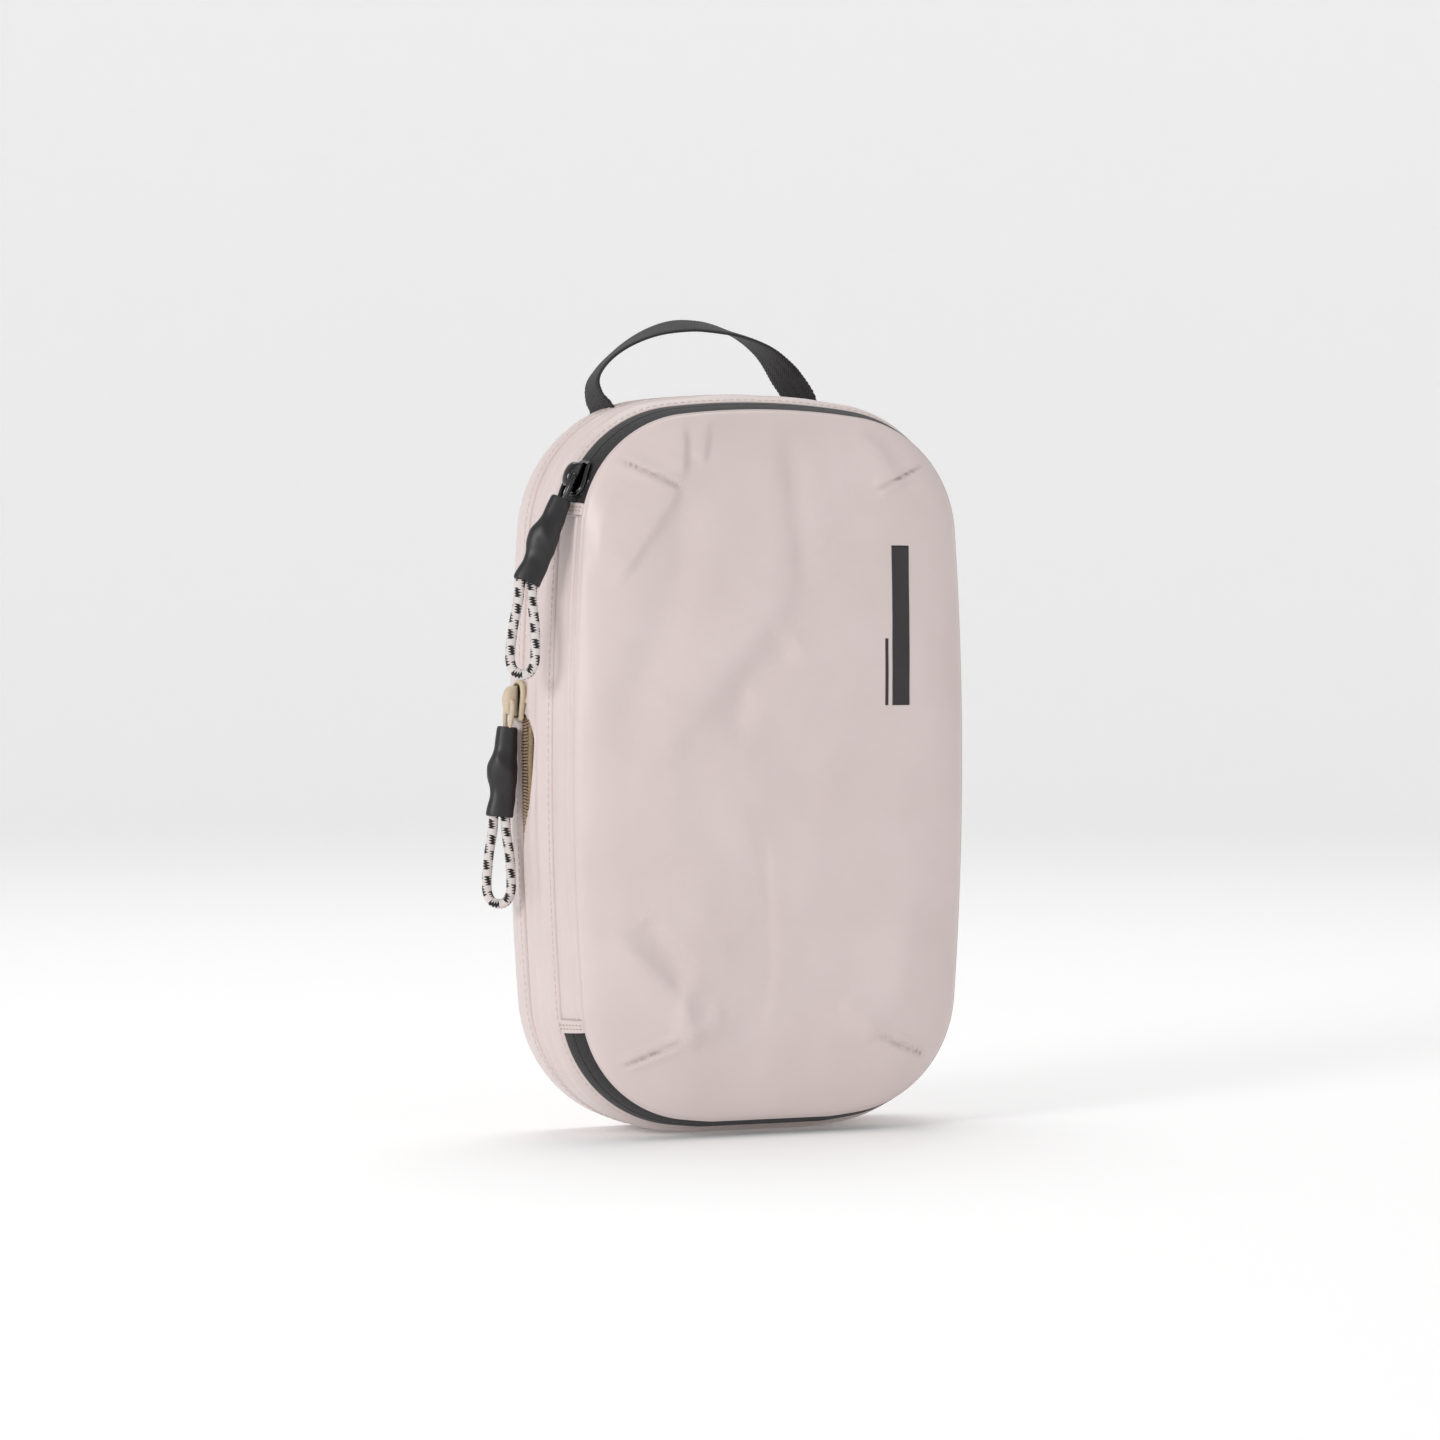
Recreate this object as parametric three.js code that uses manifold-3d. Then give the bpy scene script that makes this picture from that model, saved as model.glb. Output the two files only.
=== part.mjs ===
// Compressible packing cube: soft zipped bag with a fold-back lid, an expansion zip,
// two corded zip pulls and a webbing grab handle.
// Millimetres, +Z up, front (lid) towards -Y, origin on the resting base.
import * as THREE from 'three';
import { mergeVertices } from 'three/addons/utils/BufferGeometryUtils.js';
import Module from 'manifold-3d';

const wasm = await Module();
wasm.setup();

// ---------- driving dimensions ----------
const HALF_WIDTH = 78;
const HALF_HEIGHT = 128;
const CORNER_RADIUS = 47.5;
const SIDE_RADIUS = 1127; // slight outward bow of the long sides
const TOP_RADIUS = 260; // outward bow of the top and base
const BASE_HALF_FLAT = 22; // half length of the flat that the bag rests on
const FABRIC = 1.1; // coated fabric with its lining
const TAPE = 0.8; // zip tape
const GAP = 0.3; // clearance between pieces that touch in the real bag

// Depth levels, from the back panel to the lid.
const BACK_FACE = 23.2;
const BAND_REAR = 21.6;
const BAND_FRONT = 10.9;
const EXPANSION_SEAM = 9.55; // centre of the expansion zip
const GUSSET_REAR = 8.2;
const GUSSET_STRAIGHT = -6;
const GUSSET_FRONT = -13.2;
const TAPE_REAR = -13.5;
const TAPE_FRONT = -26;
const LID_RIM = -26.4;
const LID_CROWN = -37.6;
const INSET_GUSSET = 2.8; // how far the gusset has drawn in where the main zip starts
const INSET_LID = 6.2; // and where the lid starts

// Main zip: the slit between its two tapes takes the slider's neck.
const SLIT_CENTRE = (TAPE_REAR + TAPE_FRONT) / 2;
const SLIT = 1.5;
const COIL = 1.5;
const EXPANSION_COIL = 0.9;
const ZIP_END = 168; // degrees round the outline, measured from +X
const MAIN_SLIDER_AT = 154.5;
const EXPANSION_SLIDER_Z = 149.5;

// Webbing handle: feet on the top seam.
const WEBBING_WIDTH = 12.5;
const WEBBING = 1.4;
const HANDLE_Y = 19.6;
const HANDLE_FEET = [-46.8, 29];

// Pulls.
const CORD = 3.4;
const WIRE = 1.6;
const SLEEVE_LENGTH = 31;
const SLEEVE_FLATNESS = 0.76;
const PULL_TWIST = 68;
const LINK_LENGTH = 9;
const LOOP_LENGTH = 31;
const LOOP_HALF_WIDTH = 4.2;

// ---------- materials ----------
function paint(name, hex, roughness, metalness = 0) {
  const material = new THREE.MeshStandardMaterial({ color: hex, roughness, metalness });
  material.name = name;
  return material;
}

const IVORY = paint('ivory_fabric', 0xd9d0cb, 0.45);
const BLACK_TAPE = paint('black_tape', 0x2c2a2d, 0.85);
const BLACK_COIL = paint('black_coil', 0x161618, 0.5);
const BEIGE_TAPE = paint('beige_tape', 0xb7a48f, 0.85);
const BEIGE_COIL = paint('beige_coil', 0xa8927a, 0.5);
const BEIGE_METAL = paint('beige_metal', 0xb9a993, 0.55, 0.2);
const BLACK_METAL = paint('black_metal', 0x1b1b1d, 0.25, 0.7);
const RUBBER = paint('black_rubber', 0x1d1d1f, 0.7);
const CORD_YARN = paint('cord', 0xb9b4b0, 0.9);
const WEBBING_YARN = paint('black_webbing', 0x202022, 0.9);

// ---------- outline ----------
const degrees = THREE.MathUtils.degToRad;
const SIDE_CENTRE = HALF_WIDTH - SIDE_RADIUS;
const TOP_CENTRE = HALF_HEIGHT - TOP_RADIUS;
const CORNER = tangentCorner();
const SIDE_END = Math.atan2(CORNER.z, CORNER.x - SIDE_CENTRE);
const TOP_START = Math.atan2(CORNER.z - TOP_CENTRE, CORNER.x);
const FLAT_ANGLE = Math.asin(BASE_HALF_FLAT / TOP_RADIUS);
const MIDDLE_Z = TOP_CENTRE + TOP_RADIUS * Math.cos(FLAT_ANGLE);

// Centre of the corner arc that touches the side arc and the top arc from inside.
function tangentCorner() {
  const fromSide = SIDE_RADIUS - CORNER_RADIUS;
  const fromTop = TOP_RADIUS - CORNER_RADIUS;
  const apart = Math.hypot(SIDE_CENTRE, TOP_CENTRE);
  const along = (fromSide ** 2 - fromTop ** 2 + apart ** 2) / (2 * apart);
  const across = Math.sqrt(fromSide ** 2 - along ** 2);
  const ux = -SIDE_CENTRE / apart;
  const uz = TOP_CENTRE / apart;
  return { x: SIDE_CENTRE + along * ux - across * uz, z: along * uz + across * ux };
}

// Point of the outline whose outward normal points along phi (degrees), moved inwards by inset.
function edgePoint(phi, inset, y) {
  const cosine = Math.cos(degrees(phi));
  const sine = Math.sin(degrees(phi));
  const quarter = Math.atan2(Math.abs(sine), Math.abs(cosine));
  let arc = { x: CORNER.x, z: CORNER.z, radius: CORNER_RADIUS };
  if (quarter < SIDE_END) arc = { x: SIDE_CENTRE, z: 0, radius: SIDE_RADIUS };
  if (quarter > TOP_START) arc = { x: 0, z: TOP_CENTRE, radius: TOP_RADIUS };
  const x = arc.x + (arc.radius - inset) * Math.cos(quarter);
  const z = arc.z + (arc.radius - inset) * Math.sin(quarter);
  return new THREE.Vector3(Math.sign(cosine) * x, y, MIDDLE_Z + Math.sign(sine) * z);
}

function spread(from, to, parts) {
  return Array.from({ length: parts }, (_, step) => from + ((to - from) * step) / parts);
}

// Normals at which the outline is sampled: the base has one wide flat between two short chords.
function outlineStations() {
  const side = THREE.MathUtils.radToDeg(SIDE_END);
  const top = THREE.MathUtils.radToDeg(TOP_START);
  const flat = THREE.MathUtils.radToDeg(FLAT_ANGLE);
  return [
    ...spread(-side, side, 4),
    ...spread(side, top, 8),
    ...spread(top, 180 - top, 4),
    ...spread(180 - top, 180 - side, 8),
    ...spread(180 - side, 180 + side, 4),
    ...spread(180 + side, 180 + top, 8),
    180 + top,
    270 - flat,
    270 + flat,
    ...spread(360 - top, 360 - side, 8),
  ];
}

const STATIONS = outlineStations();

function stationsBetween(from, to) {
  const laps = [-360, 0].flatMap((lap) => STATIONS.map((phi) => phi + lap));
  return [from, ...laps.filter((phi) => phi > from + 0.5 && phi < to - 0.5), to];
}

// ---------- solids ----------
function solid(points, faces) {
  const geometry = new THREE.BufferGeometry();
  const flat = points.flatMap((point) => [point.x, point.y, point.z]);
  geometry.setAttribute('position', new THREE.Float32BufferAttribute(flat, 3));
  const volume = faces.reduce((sum, [a, b, c]) => {
    const cross = new THREE.Vector3().crossVectors(points[b], points[c]);
    return sum + points[a].dot(cross);
  }, 0);
  const outward = volume > 0 ? faces : faces.map(([a, b, c]) => [a, c, b]);
  geometry.setIndex(outward.flat());
  return geometry;
}

function bridge(from, to, size, looped = true) {
  const faces = [];
  for (let side = 0; side < (looped ? size : size - 1); side += 1) {
    const next = (side + 1) % size;
    faces.push([from + side, to + side, to + next], [from + side, to + next, from + next]);
  }
  return faces;
}

// Skin through equal sections; the ends are closed by fans, or joined when ring is true.
function loft(sections, ring = false) {
  const size = sections[0].length;
  const points = sections.flat();
  const faces = [];
  for (let step = 0; step + 1 < sections.length; step += 1) {
    faces.push(...bridge(step * size, (step + 1) * size, size));
  }
  const last = (sections.length - 1) * size;
  if (ring) return solid(points, [...faces, ...bridge(last, 0, size)]);
  for (let side = 1; side + 1 < size; side += 1) {
    faces.push([0, side, side + 1], [last, last + side + 1, last + side]);
  }
  return solid(points, faces);
}

// A section of [inset, y] pairs carried all round the outline, or from one normal to another.
function hoop(section, from, to) {
  const stations = from === undefined ? STATIONS : stationsBetween(from, to);
  const sections = stations.map((phi) => section.map(([inset, y]) => edgePoint(phi, inset, y)));
  return loft(sections, from === undefined);
}

// Section of a band of even thickness whose outer face runs through the given [inset, y] points.
function band(outer, thickness) {
  const inner = outer.map(([inset, y]) => [inset + thickness, y]).reverse();
  return [...outer, ...inner];
}

// Inset of the sloping front part at depth y.
function slopeInset(y) {
  const share = (TAPE_REAR - y) / (TAPE_REAR - TAPE_FRONT);
  return INSET_GUSSET + (INSET_LID - INSET_GUSSET) * share;
}

function slopeBand(rear, front, depth, thickness) {
  return band([[slopeInset(rear) + depth, rear], [slopeInset(front) + depth, front]], thickness);
}

function toManifold(geometry) {
  const bare = geometry.clone();
  bare.deleteAttribute('normal');
  bare.deleteAttribute('uv');
  const merged = mergeVertices(bare, 1e-4);
  const vertProperties = Float32Array.from(merged.attributes.position.array);
  const triVerts = Uint32Array.from(merged.index.array);
  return new wasm.Manifold(new wasm.Mesh({ numProp: 3, vertProperties, triVerts }));
}

function fromManifold(body) {
  const mesh = body.getMesh();
  const geometry = new THREE.BufferGeometry();
  geometry.setAttribute('position', new THREE.Float32BufferAttribute(mesh.vertProperties, 3));
  geometry.setIndex(Array.from(mesh.triVerts));
  return geometry;
}

function cut(geometry, tools) {
  return fromManifold(tools.reduce((body, tool) => body.subtract(toManifold(tool)), toManifold(geometry)));
}

function joined(geometries) {
  const [first, ...rest] = geometries.map(toManifold);
  return fromManifold(rest.reduce((body, part) => body.add(part), first));
}

function block(x, y, z, centre) {
  return new THREE.BoxGeometry(x, y, z).translate(...centre);
}

function tube(points, diameter, sides, steps) {
  const section = new THREE.Shape();
  for (let side = 0; side < sides; side += 1) {
    const angle = (2 * Math.PI * side) / sides;
    const method = side === 0 ? 'moveTo' : 'lineTo';
    section[method]((diameter / 2) * Math.cos(angle), (diameter / 2) * Math.sin(angle));
  }
  const extrudePath = new THREE.CatmullRomCurve3(points, false, 'centripetal');
  return new THREE.ExtrudeGeometry(section, { extrudePath, steps, bevelEnabled: false });
}

const bag = new THREE.Group();
bag.name = 'packing_cube';

function add(name, geometry, material, parent = bag) {
  const mesh = new THREE.Mesh(geometry, material);
  mesh.name = name;
  parent.add(mesh);
  return mesh;
}

// ---------- expansion zip ----------
// Halves of the zip that lies in the gap between the band and the gusset; side is +1 at the rear.
function expansionCoil(side) {
  const meet = EXPANSION_SEAM + (side * GAP) / 2;
  return band([[0.6, meet + side * EXPANSION_COIL], [0.6, meet]], 1.8);
}

function expansionTape(side) {
  const edge = EXPANSION_SEAM + side * (GAP / 2 + EXPANSION_COIL + GAP);
  return band([[FABRIC + GAP, edge + side * 3.2], [FABRIC + GAP, edge]], TAPE);
}

// ---------- rear shell ----------
function backPanel() {
  const inset = 0.6;
  const faces = [BACK_FACE, BACK_FACE - 1.3];
  const rings = faces.map((y) => STATIONS.map((phi) => edgePoint(phi, inset, y)));
  return loft(rings);
}

function topAt(x, y, inset) {
  const phis = spread(5, 175, 3400).map((phi) => edgePoint(phi, inset, y));
  return phis.reduce((best, point) => (Math.abs(point.x - x) < Math.abs(best.x - x) ? point : best));
}

function handleTail(x) {
  const top = topAt(x, HANDLE_Y, 0).z;
  return block(WEBBING_WIDTH, WEBBING, 13, [x, HANDLE_Y, top - 4.8 - 13 / 2]);
}

function rearBand() {
  return hoop(band([[0, BAND_REAR], [0, BAND_FRONT]], FABRIC));
}

function rearBinding() {
  return hoop(band([[FABRIC + GAP, BAND_REAR], [FABRIC + GAP, BAND_REAR - 7]], 0.9));
}

function rearShell() {
  add('back_panel', backPanel(), IVORY);
  add('rear_band', rearBand(), IVORY);
  const tails = HANDLE_FEET.map(handleTail);
  add('rear_binding', cut(rearBinding(), HANDLE_FEET.map(tailSlot)), BLACK_TAPE);
  add('handle_tail_left', tails[0], WEBBING_YARN);
  add('handle_tail_right', tails[1], WEBBING_YARN);
  add('expansion_tape_rear', hoop(expansionTape(1)), BEIGE_TAPE);
  add('expansion_coil_rear', hoop(expansionCoil(1)), BEIGE_COIL);
}

function tailSlot(x) {
  const top = topAt(x, HANDLE_Y, 0).z;
  return block(WEBBING_WIDTH + 2 * GAP, WEBBING + 2 * GAP, 40, [x, HANDLE_Y, top - 14]);
}

// ---------- front shell ----------
function frontShell() {
  const gusset = [[0, GUSSET_REAR], [0, GUSSET_STRAIGHT], [0.9, -10.4], [INSET_GUSSET, GUSSET_FRONT]];
  add('front_gusset', hoop(band(gusset, FABRIC)), IVORY);
  add('expansion_tape_front', hoop(expansionTape(-1)), BEIGE_TAPE);
  add('expansion_coil_front', hoop(expansionCoil(-1)), BEIGE_COIL);

  const [start, end] = [-ZIP_END, ZIP_END];
  const slitRear = SLIT_CENTRE + SLIT / 2;
  add('main_zip_tape_shell', hoop(slopeBand(TAPE_REAR, slitRear, 0, TAPE), start, end), BLACK_TAPE);
  const coil = slopeBand(slitRear + 2.2, slitRear, TAPE + GAP, COIL);
  add('main_zip_coil_shell', hoop(coil, start + 1, end - 1), BLACK_COIL);

  const hinge = slopeBand(TAPE_REAR, TAPE_FRONT, 0, FABRIC);
  add('hinge_panel', hoop(hinge, ZIP_END + 0.6, 360 - ZIP_END - 0.6), IVORY);
  const hem = slopeBand(TAPE_REAR - 0.2, TAPE_FRONT + 0.2, -1 - GAP, 1);
  add('hinge_hem_top', hoop(hem, ZIP_END - 3.2, ZIP_END + 2.2), IVORY);
  add('hinge_hem_bottom', hoop(hem, 360 - ZIP_END - 2.2, 360 - ZIP_END + 3.2), IVORY);
  const hingeBinding = slopeBand(TAPE_REAR, TAPE_REAR - 5, FABRIC + GAP, 0.9);
  add('hinge_binding', hoop(hingeBinding, ZIP_END + 3, 360 - ZIP_END - 3), BLACK_TAPE);
  const binding = band([[INSET_GUSSET + FABRIC + GAP, -10.6], [INSET_GUSSET + FABRIC + GAP, GUSSET_FRONT]], 0.9);
  add('gusset_binding', hoop(binding), BLACK_TAPE);
}

// Pleat that the expansion zip holds shut: it folds inwards behind the two zip coils.
function expansionGusset() {
  const mouth = FABRIC + TAPE + 3 * GAP;
  const outer = [[mouth, EXPANSION_SEAM + 3.6], [mouth + 9, EXPANSION_SEAM], [mouth, EXPANSION_SEAM - 3.6]];
  const inner = [[mouth, EXPANSION_SEAM - 2.4], [mouth + 6, EXPANSION_SEAM], [mouth, EXPANSION_SEAM + 2.4]];
  add('expansion_gusset', hoop([...outer, ...inner]), IVORY);
}

// ---------- lid ----------
// Crowned panel: each ring is the rim drawn towards the middle while the crown rises.
function lidRing(share, inset, lift) {
  const crown = (1 - share ** 3) ** 0.6;
  const y = LID_RIM + lift + (LID_CROWN - LID_RIM) * crown;
  return STATIONS.map((phi) => {
    const rim = edgePoint(phi, inset, y);
    return new THREE.Vector3(rim.x * share, y, MIDDLE_Z + (rim.z - MIDDLE_Z) * share);
  });
}

function frontPanel() {
  const shares = [0.3, 0.55, 0.74, 0.87, 0.95, 0.985, 1];
  const outer = shares.map((share) => lidRing(share, INSET_LID, 0));
  const inner = shares.toReversed().map((share) => lidRing(share, INSET_LID + FABRIC, share < 1 ? FABRIC : 0));
  return loft([...outer, ...inner]);
}

function lid() {
  const [start, end] = [-ZIP_END, ZIP_END];
  const slitFront = SLIT_CENTRE - SLIT / 2;
  add('front_panel', frontPanel(), IVORY);
  const tape = slopeBand(slitFront, TAPE_FRONT, 0, TAPE);
  add('main_zip_tape_lid', hoop(tape, start, end), BLACK_TAPE);
  const coil = slopeBand(slitFront, slitFront - 2.2, TAPE + GAP, COIL);
  add('main_zip_coil_lid', hoop(coil, start + 1, end - 1), BLACK_COIL);
  const binding = band([[INSET_LID + TAPE + GAP, TAPE_FRONT + 3.2], [INSET_LID + TAPE + GAP, TAPE_FRONT]], 0.9);
  add('lid_binding', hoop(binding, start + 1, end - 1), BLACK_TAPE);
}

// ---------- handle ----------
// Centre line of the webbing, as [x, z], from the left foot over the top to the right foot.
const HANDLE_LINE = [
  [-46.9, 253.2], [-48.7, 255.8], [-48.4, 260], [-45.2, 265.4], [-39.6, 270.6], [-32.4, 275.2], [-24.4, 278.6],
  [-15.6, 280.5], [-6.8, 280.5], [2, 278.9], [10, 275.9], [17, 271.6], [22.6, 265.8], [26.2, 261.2], [28.6, 257.2],
];

// Turn of the webbing's outer face from the arch's own normal towards the lid, as [share of length, degrees].
const HANDLE_TURNS = [
  [0, 58], [0.06, 22], [0.14, 0], [0.3, 10], [0.46, 24], [0.58, 20], [0.7, 6], [0.8, -16], [0.9, -48], [1, -70],
];

function turnAt(share) {
  const next = Math.max(1, HANDLE_TURNS.findIndex(([at]) => at >= share));
  const [[from, low], [to, high]] = [HANDLE_TURNS[next - 1], HANDLE_TURNS[next]];
  return degrees(low + (high - low) * THREE.MathUtils.smoothstep(share, from, to));
}

function handleSections() {
  const line = HANDLE_LINE.map(([x, z]) => new THREE.Vector3(x, HANDLE_Y, z));
  const path = new THREE.CatmullRomCurve3(line, false, 'centripetal');
  const steps = 28;
  return Array.from({ length: steps + 1 }, (_, step) => {
    const share = step / steps;
    const centre = path.getPointAt(share);
    const along = path.getTangentAt(share);
    const outwards = new THREE.Vector3(-along.z, 0, along.x);
    const turn = turnAt(share);
    const face = outwards.multiplyScalar(Math.cos(turn)).add(new THREE.Vector3(0, -Math.sin(turn), 0));
    const width = new THREE.Vector3().crossVectors(along, face).multiplyScalar(WEBBING_WIDTH / 2);
    face.multiplyScalar(WEBBING / 2);
    return [[1, 1], [1, -1], [-1, -1], [-1, 1]].map(([across, through]) =>
      centre.clone().addScaledVector(width, across).addScaledVector(face, through));
  });
}

// ---------- sliders and pulls ----------
// Local axes of a slider: +X out of the bag, +Y across the zip, +Z along it.
function sliderPlate(width, length, thickness, wideAt) {
  const shape = new THREE.Shape();
  const half = width / 2;
  shape.moveTo(-half * 0.62, -length / 2);
  shape.lineTo(half * 0.62, -length / 2);
  shape.bezierCurveTo(half * 0.7, -length * 0.1, half, 0, half, wideAt * length);
  shape.bezierCurveTo(half, length * 0.45, half * 0.6, length / 2, 0, length / 2);
  shape.bezierCurveTo(-half * 0.6, length / 2, -half, length * 0.45, -half, wideAt * length);
  shape.bezierCurveTo(-half, 0, -half * 0.7, -length * 0.1, -half * 0.62, -length / 2);
  const geometry = new THREE.ExtrudeGeometry(shape, { depth: thickness, bevelEnabled: false, curveSegments: 5 });
  return geometry.applyMatrix4(new THREE.Matrix4().makeBasis(
    new THREE.Vector3(0, 1, 0), new THREE.Vector3(0, 0, 1), new THREE.Vector3(1, 0, 0)));
}

// Bridge over the outer plate with an eye through it, across the zip.
function sliderCrown(length, rise, width, eye) {
  const shape = new THREE.Shape();
  shape.moveTo(-length / 2, 0);
  shape.lineTo(length / 2, 0);
  shape.bezierCurveTo(length / 2, rise * 1.05, length * 0.2, rise, 0, rise);
  shape.bezierCurveTo(-length * 0.2, rise, -length / 2, rise * 1.05, -length / 2, 0);
  const hole = new THREE.Path();
  hole.absarc(0, 2.3, eye / 2, 0, 2 * Math.PI, true);
  shape.holes.push(hole);
  const geometry = new THREE.ExtrudeGeometry(shape, { depth: width, bevelEnabled: false, curveSegments: 5 });
  geometry.translate(0, 0, -width / 2);
  return geometry.applyMatrix4(new THREE.Matrix4().makeBasis(
    new THREE.Vector3(0, 0, 1), new THREE.Vector3(1, 0, 0), new THREE.Vector3(0, 1, 0)));
}

function pull(prefix, pivot, lean, loopLean) {
  const group = new THREE.Group();
  group.position.copy(pivot);
  group.rotation.y = degrees(lean);
  const legs = 3.4;
  const wire = [
    [legs - 1, -LINK_LENGTH + GAP], [legs, -LINK_LENGTH * 0.6], [legs, -1.6], [legs - 1, -0.2], [0, 0],
    [1 - legs, -0.2], [-legs, -1.6], [-legs, -LINK_LENGTH * 0.6], [1 - legs, -LINK_LENGTH + GAP],
  ];
  const wirePoints = wire.map(([y, z]) => new THREE.Vector3(0, y, z));
  add(`${prefix}_pull_link`, tube(wirePoints, WIRE, 8, 30), BLACK_METAL, group);

  const profile = [[0, 0], [3.5, 0], [3.8, 1.5], [4.2, 8], [5.1, 14], [5.1, 18], [4.5, 22.5], [4.5, 27], [4.7, 31], [0, 31]];
  const outline = profile.map(([radius, along]) => new THREE.Vector2(radius, along)).reverse();
  outline.forEach((point) => point.setY(SLEEVE_LENGTH - point.y));
  const sleeve = new THREE.LatheGeometry(outline, 16).rotateX(Math.PI / 2);
  sleeve.scale(SLEEVE_FLATNESS, 1, 1).rotateZ(degrees(PULL_TWIST)).translate(0, 0, -LINK_LENGTH - SLEEVE_LENGTH);
  add(`${prefix}_pull_sleeve`, sleeve, RUBBER, group);

  const top = -GAP - 4 * Math.sin(degrees(lean - loopLean));
  const end = top - LOOP_LENGTH + CORD / 2;
  const loop = [[2.05, top], [2.4, top - 5], [3.6, top - 13], [LOOP_HALF_WIDTH, end + 6], [2.9, end + 1.4], [0, end]];
  const mirrored = loop.slice(0, -1).reverse().map(([y, z]) => [-y, z]);
  const cord = [...loop, ...mirrored].map(([y, z]) => new THREE.Vector3(0, y, z));
  const loopGeometry = tube(cord, CORD, 8, 34).rotateZ(degrees(PULL_TWIST)).rotateY(degrees(loopLean - lean));
  add(`${prefix}_pull_cord`, loopGeometry.translate(0, 0, -LINK_LENGTH - SLEEVE_LENGTH), CORD_YARN, group);
  bag.add(group);
}

function mainSlider() {
  const surface = slopeInset(SLIT_CENTRE);
  const tilt = Math.atan2(INSET_LID - INSET_GUSSET, TAPE_REAR - TAPE_FRONT);
  const group = new THREE.Group();
  group.position.copy(edgePoint(MAIN_SLIDER_AT, surface, SLIT_CENTRE));
  group.rotation.order = 'YXZ';
  group.rotation.set(0, -degrees(MAIN_SLIDER_AT), -tilt);
  const outer = sliderPlate(9.6, 13, 1.7, 0.18).translate(0.6, 0, 0);
  const neck = block(5.6, 0.6, 4.5, [-1.6, 0, 3]).rotateZ(tilt);
  const inner = sliderPlate(9.6, 13, 1.2, 0.18).translate(-5, 0, 0);
  const lidSide = block(20, 10, 20, [0, -6.5, 0]);
  add('main_slider_body', joined([outer, neck, cut(inner, [lidSide])]), BLACK_METAL, group);
  add('main_slider_crown', sliderCrown(9.6, 5.2, 3.2, 2.9).translate(2.3 + GAP, 0, 0), BLACK_METAL, group);
  bag.add(group);
  group.updateMatrixWorld(true);
  pull('main', group.localToWorld(new THREE.Vector3(2.3 + GAP + 2.3, 0, 0)), 24, 3);
}

function expansionSlider() {
  const phi = 180 - THREE.MathUtils.radToDeg(Math.asin((EXPANSION_SLIDER_Z - MIDDLE_Z) / SIDE_RADIUS));
  const group = new THREE.Group();
  group.position.copy(edgePoint(phi, 0, EXPANSION_SEAM));
  group.rotation.y = -degrees(phi);
  const body = sliderPlate(10, 14.4, 1.7, -0.28).translate(GAP, 0, 0);
  add('expansion_slider_body', body, BEIGE_METAL, group);
  add('expansion_slider_crown', sliderCrown(10.4, 5.4, 3.2, 2.9).translate(2 + GAP, 0, 0), BEIGE_METAL, group);
  bag.add(group);
  group.updateMatrixWorld(true);
  pull('expansion', group.localToWorld(new THREE.Vector3(2 + GAP + 2.3, 0, 0)), 5.5, 0.5);
}

rearShell();
frontShell();
expansionGusset();
lid();
add('handle_webbing', loft(handleSections()), WEBBING_YARN);
mainSlider();
expansionSlider();

export default bag;
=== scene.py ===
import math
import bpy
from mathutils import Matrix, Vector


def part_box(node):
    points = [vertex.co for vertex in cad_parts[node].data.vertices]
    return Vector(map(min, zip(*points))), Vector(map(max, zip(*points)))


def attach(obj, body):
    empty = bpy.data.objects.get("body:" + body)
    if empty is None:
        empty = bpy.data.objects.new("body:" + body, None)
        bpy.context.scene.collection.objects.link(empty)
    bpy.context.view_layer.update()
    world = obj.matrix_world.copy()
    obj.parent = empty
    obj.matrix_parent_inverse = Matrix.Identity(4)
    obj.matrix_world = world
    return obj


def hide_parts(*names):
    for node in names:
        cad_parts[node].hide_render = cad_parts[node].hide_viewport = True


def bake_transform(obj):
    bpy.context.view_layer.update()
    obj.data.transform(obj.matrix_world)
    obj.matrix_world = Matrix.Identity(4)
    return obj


bl_info = {
    "name": "Compressible packing cube",
    "version": (1, 0, 0),
    "blender": (4, 5, 0),
    "location": "View3D > Sidebar > Packing cube",
    "description": "Builds the fabric, zips, pulls and handle of a packing cube round its fixed frame",
    "category": "Object",
}

import bpy
import numpy as np
from bpy.props import FloatProperty, FloatVectorProperty, PointerProperty, StringProperty
from mathutils import Matrix, Vector, noise

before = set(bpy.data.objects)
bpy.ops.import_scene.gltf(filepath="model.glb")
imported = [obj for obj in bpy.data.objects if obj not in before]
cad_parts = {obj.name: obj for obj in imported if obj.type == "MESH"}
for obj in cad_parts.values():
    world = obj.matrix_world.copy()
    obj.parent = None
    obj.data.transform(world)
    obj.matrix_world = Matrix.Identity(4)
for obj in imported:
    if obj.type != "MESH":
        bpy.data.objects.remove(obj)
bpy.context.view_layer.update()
MM = 0.001


def box_mm(node):
    """Lowest and highest corners of a frame node, in millimetres."""
    low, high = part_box(node)
    return np.array(low) / MM, np.array(high) / MM


# ---------- outline and depth levels, in millimetres ----------
BAND_LOW, BAND_HIGH = box_mm("rear_band")
HALF_WIDTH = BAND_HIGH[0]
HALF_HEIGHT = 128.0
CORNER_RADIUS = 47.5
SIDE_RADIUS = 1127.0
TOP_RADIUS = 260.0
SIDE_CENTRE = HALF_WIDTH - SIDE_RADIUS
TOP_CENTRE = HALF_HEIGHT - TOP_RADIUS
MIDDLE_Z = BAND_HIGH[2] - HALF_HEIGHT

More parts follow.
